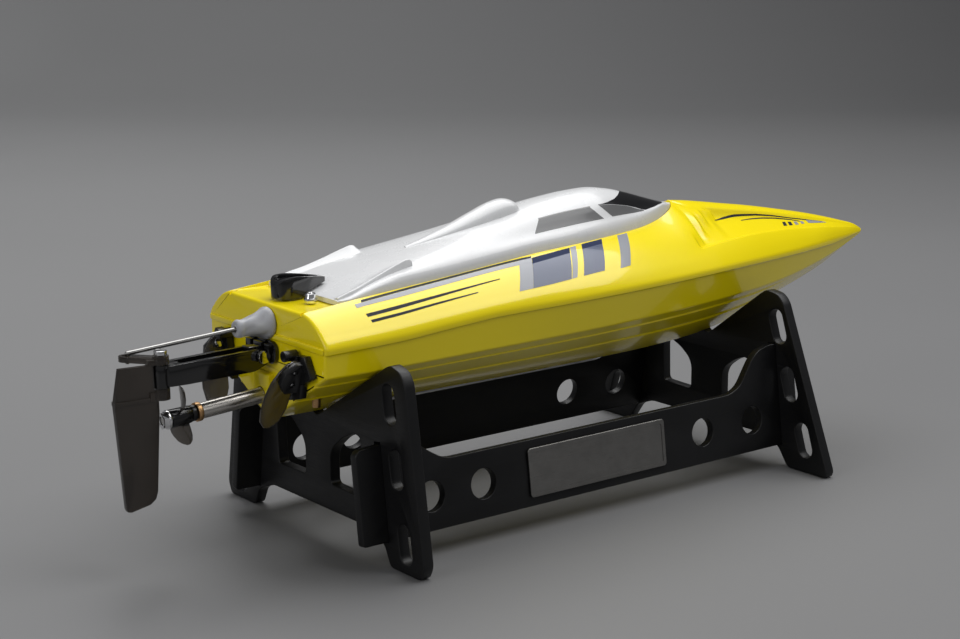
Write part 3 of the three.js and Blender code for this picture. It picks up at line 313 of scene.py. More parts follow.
def finish(o, body, material, cad=(), angle=32):
    """Smooth shading, its material, its CAD body and the CAD nodes it stands for."""
    shade(o, angle)
    o.data.materials.clear()
    o.data.materials.append(material)
    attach(o, body)
    if cad:
        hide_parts(*cad)
    return o


# ------------------------------------------------------------------ materials
class Tree:
    """A shorthand for laying out a material's nodes."""

    def __init__(self, name):
        self.m = bpy.data.materials.new(name)
        self.m.use_nodes = True
        self.t = self.m.node_tree
        self.bsdf = self.t.nodes["Principled BSDF"]
        self.coord = self.t.nodes.new("ShaderNodeTexCoord")

    def set(self, **k):
        for a, v in k.items():
            self.bsdf.inputs[a.replace("_", " ")].default_value = v
        return self

    def link(self, a, b):
        self.t.links.new(a, b)

    def mapped(self, scale=(1, 1, 1), rotation=(0, 0, 0), location=(0, 0, 0)):
        n = self.t.nodes.new("ShaderNodeMapping")
        n.inputs["Scale"].default_value = scale
        n.inputs["Rotation"].default_value = rotation
        n.inputs["Location"].default_value = location
        self.link(self.coord.outputs["Object"], n.inputs["Vector"])
        return n.outputs["Vector"]

    def noise(self, scale, detail=3.0, rough=0.5, vector=None, distortion=0.0):
        n = self.t.nodes.new("ShaderNodeTexNoise")
        n.inputs["Scale"].default_value = scale
        n.inputs["Detail"].default_value = detail
        n.inputs["Roughness"].default_value = rough
        n.inputs["Distortion"].default_value = distortion
        self.link(vector or self.coord.outputs["Object"], n.inputs["Vector"])
        return n.outputs["Fac"]

    def voronoi(self, scale, vector=None, feature="F1"):
        n = self.t.nodes.new("ShaderNodeTexVoronoi")
        n.feature = feature
        n.inputs["Scale"].default_value = scale
        self.link(vector or self.coord.outputs["Object"], n.inputs["Vector"])
        return n.outputs["Distance"]

    def wave(self, scale, vector=None, distortion=0.0, direction="X", kind="BANDS"):
        n = self.t.nodes.new("ShaderNodeTexWave")
        n.wave_type = kind
        if kind == "BANDS":
            n.bands_direction = direction
        n.inputs["Scale"].default_value = scale
        n.inputs["Distortion"].default_value = distortion
        self.link(vector or self.coord.outputs["Object"], n.inputs["Vector"])
        return n.outputs["Fac"]

    def ramp(self, fac, stops, interpolation="LINEAR"):
        n = self.t.nodes.new("ShaderNodeValToRGB")
        n.color_ramp.interpolation = interpolation
        while len(n.color_ramp.elements) < len(stops):
            n.color_ramp.elements.new(0.5)
        for e, (p, c) in zip(n.color_ramp.elements, stops):
            e.position = p
            e.color = (*c, 1) if len(c) == 3 else c
        self.link(fac, n.inputs["Fac"])
        return n.outputs["Color"]

    def span(self, fac, lo, hi, a=0.0, b=1.0):
        n = self.t.nodes.new("ShaderNodeMapRange")
        n.inputs["From Min"].default_value = a
        n.inputs["From Max"].default_value = b
        n.inputs["To Min"].default_value = lo
        n.inputs["To Max"].default_value = hi
        self.link(fac, n.inputs["Value"])
        return n.outputs["Result"]

    def math(self, op, a, b):
        n = self.t.nodes.new("ShaderNodeMath")
        n.operation = op
        for i, v in enumerate((a, b)):
            if isinstance(v, (int, float)):
                n.inputs[i].default_value = v
            else:
                self.link(v, n.inputs[i])
        return n.outputs["Value"]

    def mix(self, fac, a, b, kind="MIX"):
        n = self.t.nodes.new("ShaderNodeMix")
        n.data_type = "RGBA"
        n.blend_type = kind
        for s, v in ((n.inputs[0], fac), (n.inputs[6], a), (n.inputs[7], b)):
            if isinstance(v, (int, float)):
                s.default_value = v
            elif isinstance(v, tuple):
                s.default_value = (*v, 1) if len(v) == 3 else v
            else:
                self.link(v, s)
        return n.outputs[2]

    def bump(self, height, distance, strength=1.0, after=None):
        n = self.t.nodes.new("ShaderNodeBump")
        n.inputs["Distance"].default_value = distance
        n.inputs["Strength"].default_value = strength
        self.link(height, n.inputs["Height"])
        if after is not None:
            self.link(after, n.inputs["Normal"])
        self.link(n.outputs["Normal"], self.bsdf.inputs["Normal"])
        return n.outputs["Normal"]

    def to(self, socket, value):
        self.link(value, self.bsdf.inputs[socket])
        return self

    def edge_highlight_mask(self, lo, hi):
        """0 on flats and 1 on raised edges, from the surface's own pointiness."""
        g = self.t.nodes.new("ShaderNodeNewGeometry")
        return self.span(g.outputs["Pointiness"], 0.0, 1.0, lo, hi)


def paint(name, base, shade_c, rough, coat, peel=0.000012, spec=0.5):
    """Glossy moulded or sprayed shell: slight colour drift, dust in the finish and a faint orange peel."""
    t = Tree(name)
    big = t.noise(9.0, 2.0)
    fine = t.noise(1400.0, 2.0)
    c = t.mix(t.span(big, 0.0, 0.35, 0.3, 0.7), base, shade_c)
    speck = t.ramp(t.voronoi(620.0), [(0.0, (0.86, 0.86, 0.86)), (0.035, (1, 1, 1))])
    c = t.mix(0.10, c, speck, "MULTIPLY")
    t.to("Base Color", c)
    t.to("Roughness", t.math("ADD", t.span(t.noise(60.0, 4.0), rough * 0.8, rough * 1.35), t.span(fine, 0.0, 0.03)))
    t.set(Coat_Weight=coat, Coat_Roughness=0.04, Coat_IOR=1.5, IOR=1.5)
    t.bsdf.inputs["Specular IOR Level"].default_value = spec
    t.bump(t.noise(420.0, 2.0), peel, 0.55)
    return t.m


def plastic(name, base, rough, grain=900.0, depth=0.00002, coat=0.0, drift=0.25, spec=0.5):
    """Moulded plastic with a fine spark-eroded grain and slight colour drift."""
    t = Tree(name)
    lo = tuple(v * (1 - drift) for v in base)
    hi = tuple(min(1.0, v * (1 + drift)) for v in base)
    t.to("Base Color", t.mix(t.span(t.noise(25.0, 4.0), 0.0, 1.0, 0.3, 0.7), lo, hi))
    t.to("Roughness", t.span(t.noise(45.0, 5.0), rough * 0.85, min(1.0, rough * 1.2), 0.3, 0.7))
    t.set(Coat_Weight=coat, Coat_Roughness=0.08, IOR=1.48)
    t.bsdf.inputs["Specular IOR Level"].default_value = spec
    t.bump(t.noise(grain, 3.0, 0.6), depth, 0.6)
    return t.m


def metal(name, base, rough, lathe=None, rust=0.0, grain=2200.0, streak=(1, 60, 60)):
    """Turned, drawn or plated metal: streaks along or round it, tarnish, and a little rust where asked."""
    t = Tree(name)
    v = t.mapped(streak)
    s = t.noise(40.0, 5.0, 0.6, v)
    dull = t.noise(120.0, 4.0, 0.65)
    c = t.mix(t.span(dull, 0.0, 0.5, 0.35, 0.75), base, tuple(x * 0.62 for x in base))
    r = t.span(s, rough * 0.7, min(1.0, rough * 1.6), 0.3, 0.7)
    if rust:
        spots = t.ramp(t.noise(150.0, 5.0, 0.7), [(0.0, (0, 0, 0)), (1 - rust, (0, 0, 0)), (min(1.0, 1 - rust + 0.07), (1, 1, 1))])
        c = t.mix(spots, c, (0.20, 0.075, 0.02))
        t.to("Metallic", t.math("SUBTRACT", 1.0, t.math("MULTIPLY", spots, 0.9)))
        r = t.math("ADD", r, t.math("MULTIPLY", spots, 0.45))
    else:
        t.set(Metallic=1.0)
    t.to("Base Color", c)
    t.to("Roughness", r)
    t.bump(s, 0.000012, 0.5)
    return t.m


def smoke(name, tint, rough=0.14, weight=0.82):
    """Smoke-tinted clear plastic."""
    t = Tree(name)
    t.to("Base Color", t.mix(t.span(t.noise(70.0, 3.0), 0.0, 1.0, 0.3, 0.7), tint, tuple(v * 0.75 for v in tint)))
    t.to("Roughness", t.span(t.noise(220.0, 4.0), rough * 0.7, rough * 1.5, 0.3, 0.7))
    t.set(Transmission_Weight=weight, IOR=1.49)
    t.bump(t.noise(260.0, 3.0), 0.00002, 0.4)
    return t.m


def rubber(name, base, rough=0.6, transmission=0.0):
    t = Tree(name)
    t.to("Base Color", t.mix(t.span(t.noise(90.0, 4.0), 0.0, 1.0, 0.3, 0.7), base, tuple(v * 0.8 for v in base)))
    t.to("Roughness", t.span(t.noise(300.0, 3.0), rough * 0.85, rough * 1.15, 0.3, 0.7))
    t.set(Transmission_Weight=transmission, IOR=1.42)
    t.bump(t.noise(1500.0, 3.0), 0.00003, 0.5)
    return t.m


YELLOW = paint("shell_yellow", (0.95, 0.765, 0.0025), (0.91, 0.715, 0.002), 0.2, 0.5, spec=0.3)
WHITE = paint("shell_white", (0.71, 0.715, 0.72), (0.665, 0.67, 0.68), 0.24, 0.3, spec=0.35)
INNER_YELLOW = plastic("shell_yellow_inside", (0.72, 0.56, 0.01), 0.5, 700.0, 0.00004, drift=0.1)
GLASS_BLACK = paint("print_windscreen_black", (0.012, 0.012, 0.013), (0.02, 0.02, 0.022), 0.1, 0.9)
GLASS_GREY = paint("print_window_grey", (0.13, 0.131, 0.133), (0.11, 0.112, 0.115), 0.2, 0.2, spec=0.3)
# painted shade: grey for the canopy's steep lower skirt; this material is not given to any part
SKIRT_PAINTED_SHADE = paint("skirt_painted_shade_grey", (0.42, 0.425, 0.43), (0.36, 0.365, 0.37), 0.2, 0.6)
P_NAVY = paint("print_navy", (0.012, 0.022, 0.07), (0.016, 0.027, 0.08), 0.4, 0.0, spec=0.08)
# the navy print with the softbox's reflection on the shoulder painted in as a paler slate
P_NAVY_PAINTED_REFLECTION = paint("print_navy_painted_reflection", (0.062, 0.08, 0.145), (0.075, 0.092, 0.16), 0.18, 0.35, spec=0.35)
P_GREY = paint("print_light_grey", (0.30, 0.31, 0.34), (0.27, 0.28, 0.31), 0.2, 0.3, spec=0.3)
P_DARK = paint("print_dark_grey", (0.02, 0.023, 0.03), (0.026, 0.028, 0.036), 0.4, 0.0, spec=0.1)
BLACK_GLOSS = plastic("black_gloss_plastic", (0.005, 0.005, 0.0055), 0.12, 500.0, 0.000006, coat=0.5)
BLACK = plastic("black_moulded_plastic", (0.006, 0.006, 0.0065), 0.27, 1100.0, 0.00002)
STEEL = metal("ground_steel", (0.56, 0.545, 0.52), 0.24, rust=0.0)
TUBE_STEEL = metal("stuffing_tube_steel", (0.53, 0.505, 0.47), 0.24, rust=0.34)
CHROME = metal("bright_chrome", (0.80, 0.80, 0.81), 0.09)
BRASS = metal("dull_brass", (0.60, 0.36, 0.17), 0.32, rust=0.25)
ALU = metal("satin_aluminium", (0.62, 0.625, 0.635), 0.3)
SMOKE = smoke("smoke_clear_plastic", (0.07, 0.058, 0.048), weight=0.6)
SMOKE_DARK = smoke("smoke_dark_plastic", (0.16, 0.14, 0.12), 0.12, 0.8)
BOOT_RUBBER = rubber("boot_translucent_rubber", (0.60, 0.61, 0.65), 0.36, 0.3)
SEAL = rubber("seal_rubber", (0.02, 0.02, 0.022), 0.8)
SILICONE = rubber("silicone_hose", (0.72, 0.76, 0.80), 0.3, 0.5)
IVORY = plastic("ivory_nylon", (0.62, 0.53, 0.33), 0.4, 800.0, 0.00002, drift=0.12)
FOAM = plastic("cell_foam", (0.72, 0.72, 0.69), 0.9, 420.0, 0.00025, drift=0.08)
WRAP = plastic("battery_shrink_wrap", (0.02, 0.09, 0.30), 0.28, 160.0, 0.0001, coat=0.3)


def stand_plastic():
    """Black ABS sheet with fine lengthwise machining grain, dust, and a painted highlight that makes the raised edges
    paler.
    """
    t = Tree("stand_black_abs")
    lines = t.noise(30.0, 3.0, 0.6, t.mapped((6, 6, 120)))
    cloud = t.noise(34.0, 4.0)
    c = t.mix(t.span(cloud, 0.0, 1.0, 0.35, 0.75), (0.0035, 0.0035, 0.004), (0.007, 0.007, 0.0075))
    # painted highlight: the raised edges are painted paler
    c = t.mix(t.math("MULTIPLY", t.edge_highlight_mask(0.52, 0.62), 0.35), c, (0.04, 0.04, 0.042))
    dust = t.ramp(t.voronoi(800.0), [(0.0, (0.25, 0.25, 0.25)), (0.03, (0, 0, 0))])
    c = t.mix(0.12, c, dust, "ADD")
    t.to("Base Color", c)
    t.to("Roughness", t.span(lines, 0.30, 0.5, 0.3, 0.7))
    t.set(IOR=1.5)
    t.bsdf.inputs["Specular IOR Level"].default_value = 0.28
    t.bump(lines, 0.00003, 0.6)
    return t.m


STAND = stand_plastic()
ROD = metal("pushrod_wire", (0.34, 0.335, 0.325), 0.2, streak=(1, 5, 5))


def propeller_plastic():
    """Smoke-clear blades running into a solid black hub, told apart by the distance from the shaft's own line."""
    t = Tree("propeller_smoke_and_hub")
    sep = t.t.nodes.new("ShaderNodeSeparateXYZ")
    t.link(t.coord.outputs["Object"], sep.inputs[0])
    slope = math.tan(math.radians(4))
    line = t.math("ADD", t.math("MULTIPLY", sep.outputs["X"], slope), (62.9 + (54.5 - SHIFT) * slope) / 1000.0)
    dz = t.math("SUBTRACT", sep.outputs["Z"], line)
    r = t.math("SQRT", t.math("ADD", t.math("MULTIPLY", dz, dz), t.math("MULTIPLY", sep.outputs["Y"], sep.outputs["Y"])), 0.0)
    hub = t.span(r, 1.0, 0.0, 0.0041, 0.0047)
    cloud = t.mix(t.span(t.noise(70.0, 3.0), 0.0, 1.0, 0.3, 0.7), (0.16, 0.14, 0.12), (0.12, 0.105, 0.09))
    t.to("Base Color", t.mix(hub, cloud, (0.006, 0.006, 0.0065)))
    t.to("Roughness", t.span(t.noise(220.0, 4.0), 0.1, 0.22, 0.3, 0.7))
    t.to("Transmission Weight", t.math("MULTIPLY", t.math("SUBTRACT", 1.0, hub), 0.8))
    t.set(IOR=1.49)
    t.bump(t.noise(260.0, 3.0), 0.00002, 0.4)
    return t.m


PROPELLER = propeller_plastic()
FACE = {
    "stand_rear_plate": STAND, "stand_front_plate": STAND, "stand_rail_left": STAND, "stand_rail_right": STAND, "stand_name_plate": ALU,
    "hull_lower": YELLOW, "deck_upper": YELLOW, "canopy": WHITE, "canopy_gasket": SEAL, "latch_knob": BLACK_GLOSS, "latch_post": STEEL,
    "stuffing_tube": TUBE_STEEL, "shaft_bush_rear": BRASS, "shaft_bush_front": BRASS, "drive_shaft": STEEL, "thrust_washer": BLACK,
    "propeller": PROPELLER, "propeller_nut": CHROME, "shaft_coupling": ALU, "motor_rotor": STEEL, "motor_can": ALU, "motor_end_cap": BLACK,
    "motor_mount": BLACK, "cooling_jacket": ALU, "cooling_hose_in": SILICONE, "cooling_hose_out": SILICONE, "water_inlet": BRASS,
    "outlet_nozzle": CHROME, "steering_servo": BLACK, "servo_mount": BLACK, "servo_horn": WHITE, "servo_horn_screw": STEEL,
    "steering_pushrod": ROD, "pushrod_boot": BOOT_RUBBER, "rudder": SMOKE, "rudder_pin": CHROME, "rudder_arm": BLACK_GLOSS,
    "rudder_arm_mount": BLACK_GLOSS, "rudder_clamp_screw": CHROME, "battery_tray": BLACK, "battery_pack": WRAP, "battery_strap": SEAL,
    "control_unit": BLACK, "control_unit_pad": FOAM, "bow_float": FOAM,
}
for side in ("left", "right"):
    FACE["turn_fin_" + side] = SMOKE_DARK
    FACE["fin_bracket_" + side] = BLACK
    FACE["fin_screw_upper_" + side] = CHROME
    FACE["fin_screw_lower_" + side] = CHROME
for name, o in NODES.items():
    o.data.materials.clear()
    o.data.materials.append(FACE[name])


# ------------------------------------------------------------------ hull and canopy lines, as in the CAD source
SEAM_DROP, WALL, LIP, GAP = 2.4, 1.8, 4.5, 0.3
keelZ = curve([[-23.5, 53.9], [0, 53.7], [60, 53], [110, 52.6], [170, 52.9], [205, 54.4], [229, 57.3], [250, 61.8], [274, 69.5], [288, 73.6], [302, 78.4], [313, 83.4], [324, 88.6], [331.5, 92]])
chineY = curve([[-23.5, 44], [0, 43.9], [60, 43.2], [120, 40.6], [170, 35.5], [200, 30.6], [229, 25], [250, 20.4], [272, 15], [292, 10], [307, 6], [320, 2.9], [329, 1], [331.5, 0.35]])
chineZ = curve([[-23.5, 79.3], [0, 79], [60, 79.2], [120, 79], [190, 79], [229, 79.3], [250, 80], [272, 81.6], [292, 83.9], [307, 86.2], [320, 89], [331.5, 92.2]])
railY = curve([[-23.5, 44.8], [0, 45.4], [60, 46], [95, 45.8], [120, 44.8], [143, 43], [184, 38], [222, 31], [250, 24.6], [266, 20.4], [285, 15], [300, 10.4], [315, 5.9], [325, 2.8], [331.5, 0.6]])
railZ = curve([[-23.5, 91], [12, 92], [40, 94], [65, 95.3], [120, 95.5], [184, 95.4], [222, 95], [266, 94], [300, 93.3], [331.5, 92.9]])
edgeY = curve([[-23.5, 28], [0, 28.3], [50, 28], [76, 27.3], [98, 26], [120, 24.2], [136, 21.9], [152, 18.9], [165, 15.8], [178, 12.2], [188, 8.6], [194, 5], [196.4, 2], [197.4, 0.8]])
edgeZ = curve([[-23.5, 103], [-10, 104.3], [4, 105.6], [24, 107.1], [44, 108.6], [76, 111.3], [98, 112.9], [136, 114], [165, 114.9], [178, 116.3], [188, 118.6], [194, 120.4], [197.4, 121.9]])


def seatZ(x):
    return 102.9 + 0.9 * smooth(-6, 4, x) + 0.6 * smooth(-4, 4, x) if x < 4 else edgeZ(x) - 1.2


ridgeZ = curve([[185, 122.9], [197.4, 122.2], [205, 121.4], [218, 119.5], [231, 117.4], [245, 115.2], [258, 112.9], [272, 110.2], [287, 107.2], [301, 104], [316, 100.1], [326, 97.2], [331.5, 94.3]])
creaseY = curve([[-23.5, 41.5], [-6, 42.2], [13, 42.4], [33, 42.5], [53, 42.5], [74.5, 42.05], [97, 41], [121, 39.1], [147, 36], [175, 31.7], [190, 29.1], [206, 26], [229, 21.6], [254, 16.6], [280, 11.2], [300, 7.4], [315, 4.2], [325, 2], [331.5, 0.45]])
creaseZ = curve([[-23.5, 95.3], [-6, 95.95], [13, 97], [33, 98.5], [53, 99.9], [74.5, 101.2], [97, 102.4], [121, 103.3], [147, 103.8], [175, 104.1], [190, 104.25], [206, 104.8], [229, 105], [254, 103.8], [280, 101.5], [300, 99.2], [315, 97.1], [325, 95.6], [331.5, 93.6]])
bandY = curve([[197.4, 0.9], [201, 3.6], [205, 5.3], [214, 5.7], [250, 5.1], [280, 4.1], [300, 3], [315, 1.8], [325, 0.9], [331.5, 0.2]])
CROWN = 1.35


def hull_half(x):
    zk, yc, zc, yr, zr = keelZ(x), chineY(x), chineZ(x), railY(x), railZ(x)
    s = 0.9 * (1 - smooth(225, 290, x))
    k = min(1, yc / 12)
    out = [[0, zk]]
    for f in (0.45, 0.8):
        a = [f * yc, zk + f * (zc - zk)]
        w = max(0.02, 1.5 * s * k)
        g = f + w / max(yc, 0.3)
        b = [g * yc, zk + g * (zc - zk)]
        out += [[b[0] - 0.02, a[1] + (b[1] - a[1]) * (1 - s * 0.9)], b]
    out.append([yc, zc])
    zs, t = zr - SEAM_DROP * min(1, yr / 10), min(1, yr / 8)
    out += [[max(yc + 0.01, yr - 0.9 * t), zs - 0.15 * t], [max(yc + 0.02, yr - 0.2 * t), zs + 0.15 * t], [yr, zr]]
    ye, ze, R = edgeY(x), edgeZ(x), [yr, zr]
    E = [ye, ze]
    F = [ye - 0.25 * min(1, ye / 4), seatZ(x)]
    G, D = [F[0] * 0.5, seatZ(x)], [0, seatZ(x)]
    if x > 197.4:
        b, zd = bandY(x), ridgeZ(x)
        E, F, G, D = [b, zd - 0.42 * b], [0.72 * b, zd - 0.24 * b], [0.38 * b, zd - 0.08 * b], [0, zd]
    elif x > 195.8:
        q = smooth(195.8, 197.4, x)
        zd = 122.2 - 0.5 * (1 - q)
        D = [0, D[1] + (zd - D[1]) * q]
        G = [G[0], G[1] + (zd - 0.02 - G[1]) * q]
        F = [F[0], F[1] + (zd - 0.1 - F[1]) * q]
    # a steep band up to the crease, then the shoulder; forward of a raked wall the shoulder becomes a sunk panel
    S, g, v, q0 = [creaseY(x), creaseZ(x)], min(1, yr / 14), min(1, E[0] / 4), smooth(188, 200, x)
    step = 1.9 * smooth(212, 218, x) * (1 - 0.75 * smooth(238, 312, x)) * min(1, E[0] / 3)
    B0 = [E[0] + 0.9 * v * q0, E[1] - 0.5 * v * q0]
    B = [B0[0], B0[1] - step]
    arc = []
    for t2 in (1 / 3, 2 / 3):
        p = lerp2(R, S, t2)
        arc.append([p[0] + 0.35 * g, p[1] + 0.2 * g])
    arc.append(S)
    for t2 in (0.07, 0.28, 0.52, 0.76, 0.93):
        wall = 190 + 24.5 * t2 + 6 * smooth(0.7, 1, t2)
        q = smooth(wall - 1.6, wall + 1.6, x)
        sunk = (1.1 * (1 - 0.8 * smooth(240, 318, x)) + 0.9 * (1 - smooth(wall, wall + 34, x))) * min(1, t2 / 0.07) * (1 - 0.35 * t2)
        m = lerp2(lerp2(S, B0, t2), lerp2(S, B, t2), q)
        lift = CROWN * 4 * t2 * (1 - t2) * (1 - q) - sunk * q
        arc.append([m[0] + 0.3 * lift * (1 - q), m[1] + lift * g])
    arc.append([B[0] * q0 + (0.97 * E[0] + 0.03 * S[0]) * (1 - q0), B[1] * q0 + (0.97 * E[1] + 0.03 * S[1] + 0.1) * (1 - q0)])
    return out + arc + [E, F, G, D]


def hull_radii(x):
    w = smooth(186, 200, x)
    s = min(1.0, railY(x) / 12)
    r = [0.9] + [0.12] * 4 + [0.8, 0.25, 0.3, 1.3]
    for a, b in ((8, 8), (8, 8), (1.6, 1.0), (2.4, 1.0), (8, 4), (8, 6), (8, 4), (8, 1.2), (8, 0.8)):
        r.append(a * (1 - w) + b * w)
    r += [0.45 + 0.8 * w, 0.2 + 2 * w, 6, 0.4]
    return [v * (0.25 + 0.75 * s) for v in r]


def full_ring(half, radii, n=3):
    """A half section mirrored into a closed outline, every corner rounded."""
    pts = half + [[-p[0], p[1]] for p in reversed(half[1:-1])]
    rr = radii + list(reversed(radii[1:-1]))
    return fillet(pts, rr, n, closed=True)


def inset_ring(ring, t):
    n, out = len(ring), []
    for i, p in enumerate(ring):
        a, b = ring[(i - 2) % n], ring[(i + 2) % n]
        e = [b[0] - a[0], b[1] - a[1]]
        l = math.hypot(*e) or 1
        out.append([p[0] - e[1] / l * t, p[1] + e[0] / l * t])
    return out


def inset_half(half, t):
    n, out = len(half), []
    for i, p in enumerate(half):
        if i == 0:
            out.append([0, p[1] + t * 1.16])
            continue
        if i == n - 1:
            out.append([0, p[1] - t * 1.02])
            continue
        a, b = half[i - 1], half[i + 1]
        e1, e2 = [p[0] - a[0], p[1] - a[1]], [b[0] - p[0], b[1] - p[1]]
        l1, l2 = math.hypot(*e1) or 1, math.hypot(*e2) or 1
        nx, ny = -(e1[1] / l1 + e2[1] / l2), e1[0] / l1 + e2[0] / l2
        l = math.hypot(nx, ny) or 1
        out.append([max(0.02 * i, p[0] + nx / l * t), p[1] + ny / l * t])
    return out


def stations(a, b, step, extra=()):
    n = max(1, round((b - a) / step))
    xs = sorted({round(a + (b - a) * i / n, 4) for i in range(n + 1)} | set(extra))
    return [x for i, x in enumerate(xs) if i == 0 or x - xs[i - 1] > 0.05]


def ring3(x, flat):
    return [(x, p[0], p[1]) for p in flat]


# outer body, with a rounded transom edge
rings = []
base = full_ring(hull_half(-21.9), hull_radii(-21.9))
for x, t in ((-23.5, 1.35), (-23.38, 0.8), (-23.1, 0.38), (-22.6, 0.1)):
    rings.append(ring3(x, inset_ring(full_ring(hull_half(x), hull_radii(x)), t)))
for x in stations(-21.9, 331.5, 2.5, [-6, -4, 0, 4, 184, 186, 195.2, 195.8, 196.2, 196.6, 197, 197.4] + [188 + 0.8 * i for i in range(42)] + [329.6, 330.6]):
    rings.append(ring3(x, full_ring(hull_half(x), hull_radii(x))))
hull_body = loft("hull_body", rings)


def inner_ring(x):
    h = hull_half(x)
    i = inset_half([h[k] for k in (0, 5, 8, 12, 15, 18, 19, 20, 21)], WALL)
    if x < 192:
        s = seatZ(x) - WALL
        for k in (6, 7, 8):
            i[k][1] = s - (8 - k) * 0.01
        i[5][1] = min(i[5][1], s - 0.05)
    return ring3(x, i + [[-p[0], p[1]] for p in reversed(i[1:-1])])


hull_cavity = loft("hull_cavity", [inner_ring(x) for x in [-21.7, -6, 0, 4, 12, 22, 32, 44, 56, 70, 82, 96, 110, 124, 136, 146, 155, 162, 170, 180, 188, 200, 214, 232, 250, 268, 284]])
OUTER_BVH = BVHTree.FromObject(hull_body, DG())
shell = boolean(hull_body, hull_cavity, "DIFFERENCE", keep=True)
seam = [(x, railZ(x) - SEAM_DROP * min(1, railY(x) / 10)) for x in [-40, -24, -10, 12, 26, 40, 52, 65, 90, 120, 150, 184, 222, 266, 300, 316, 325, 331.5, 345]]


def slab(name, outline, a=-80, b=80):
    n = len(outline)
    v = [(p[0], a, p[1]) for p in outline] + [(p[0], b, p[1]) for p in outline]
    f = [tuple(range(n)), tuple(range(2 * n - 1, n - 1, -1))] + [(i, (i + 1) % n, n + (i + 1) % n, n + i) for i in range(n)]
    return build(name, v, f)


def copy_of(o, name):
    c = bpy.data.objects.new(name, o.data.copy())
    scene.collection.objects.link(c)
    return c


def block(name, x0, x1, y0, y1, z0, z1):
    v = [(x, y, z) for x in (x0, x1) for y in (y0, y1) for z in (z0, z1)]
    return build(name, v, [(0, 1, 3, 2), (4, 6, 7, 5), (0, 4, 5, 1), (2, 3, 7, 6), (0, 2, 6, 4), (1, 5, 7, 3)])


def bar(name, a, b, r, seg=32, r2=None):
    l = (Vector(b) - Vector(a)).length
    return turned(name, [(0, 0), (r, 0), (r if r2 is None else r2, l), (0, l)], a, b, seg)


SLOPE = math.tan(math.radians(4))


def shaft_z(x):
    return 62.9 + (x + 54.5) * SLOPE


def on_shaft(x):
    return (x, 0, shaft_z(x))


lower = boolean(copy_of(shell, "hull_lower_shell"), slab("below", [(345, 30)] + list(reversed(seam)) + [(-40, 30)]), "INTERSECT")
upper = boolean(shell, slab("above", [(x, z + 0.03) for x, z in seam] + [(345, 160), (-40, 160)]), "INTERSECT")

# shaft log on the transom, and the holes in the hull
boss = bevel(block("boss", -26.4, -22.4, -6, 6, 60.6, 74.4), 1.0, 3)
lower = boolean(lower, boss, "UNION")
lower = boolean(lower, bar("hole", on_shaft(-60), on_shaft(60), 3.6), "DIFFERENCE")
lower = boolean(lower, bar("hole", (-12, -19, 55), (-12, -19, 75), 2.1), "DIFFERENCE")
bpy.data.objects.remove(hull_cavity)
finish(lower, "hull", YELLOW, ["hull_lower"], 28)

ROD_AFT, ROD_FWD = (-79.7, 11, 88.1), (9.5, -11.5, 99.5)


def rod_at(x):
    t = (x - ROD_AFT[0]) / (ROD_FWD[0] - ROD_AFT[0])
    return tuple(a + (b - a) * t for a, b in zip(ROD_AFT, ROD_FWD))


def plan_edge(off, x0, x1, n=40):
    p = [(x0 + (x1 - x0) * i / n, edgeY(x0 + (x1 - x0) * i / n) - off) for i in range(n + 1)]
    return [(q[0], -q[1]) for q in p] + list(reversed(p))


def upright(name, outline, z0, z1):
    n = len(outline)
    v = [(p[0], p[1], z0) for p in outline] + [(p[0], p[1], z1) for p in outline]
    f = [tuple(range(n)), tuple(range(2 * n - 1, n - 1, -1))] + [(i, (i + 1) % n, n + (i + 1) % n, n + i) for i in range(n)]
    return build(name, v, f)


hatch = upright("hatch", fillet(plan_edge(LIP, 3, 168), [6 if i in (0, 40, 41, 81) else 0 for i in range(82)], 6, True), 90, 140)
upper = boolean(upper, hatch, "DIFFERENCE")
c = rod_at(-23)
slot_outline = [(c[1] + (3.6 if math.cos(a) > 0 else -3.6) + 2.1 * math.cos(a), c[2] + 2.1 * math.sin(a)) for a in [2 * math.pi * (i + 0.5) / 32 for i in range(32)]]
rod_hole = build("rod_hole", [(-30, p[0], p[1]) for p in slot_outline] + [(-18, p[0], p[1]) for p in slot_outline], [tuple(range(32)), tuple(range(63, 31, -1))] + [(i, (i + 1) % 32, 32 + (i + 1) % 32, 32 + i) for i in range(32)])
upper = boolean(upper, rod_hole, "DIFFERENCE")
upper = boolean(upper, bar("hole", (-13.5, 0, 95), (-13.5, 0, 110), 1.7), "DIFFERENCE")
upper = boolean(upper, bar("hole", (-10.6, -14.2, 90), (-10.6, -14.2, 112), 1.8), "DIFFERENCE")
# the deck moulding laps over the lower hull in a raised lip across the transom
lip = bevel(block("lip", -24.3, -23.0, -43.2, 43.2, 88.75, 91.3), 0.55, 3)
lip = boolean(lip, bar("hole", rod_at(-30), rod_at(-20), 6.6), "DIFFERENCE")
upper = boolean(upper, lip, "UNION")
for s in (1, -1):   # mould grooves where the aft deck meets the shoulders
    upper = boolean(upper, block("groove", -26, -19.5, min(s * 26.6, s * 27.7), max(s * 26.6, s * 27.7), 101.7, 110), "DIFFERENCE")
finish(upper, "hull", YELLOW, ["deck_upper"], 28)


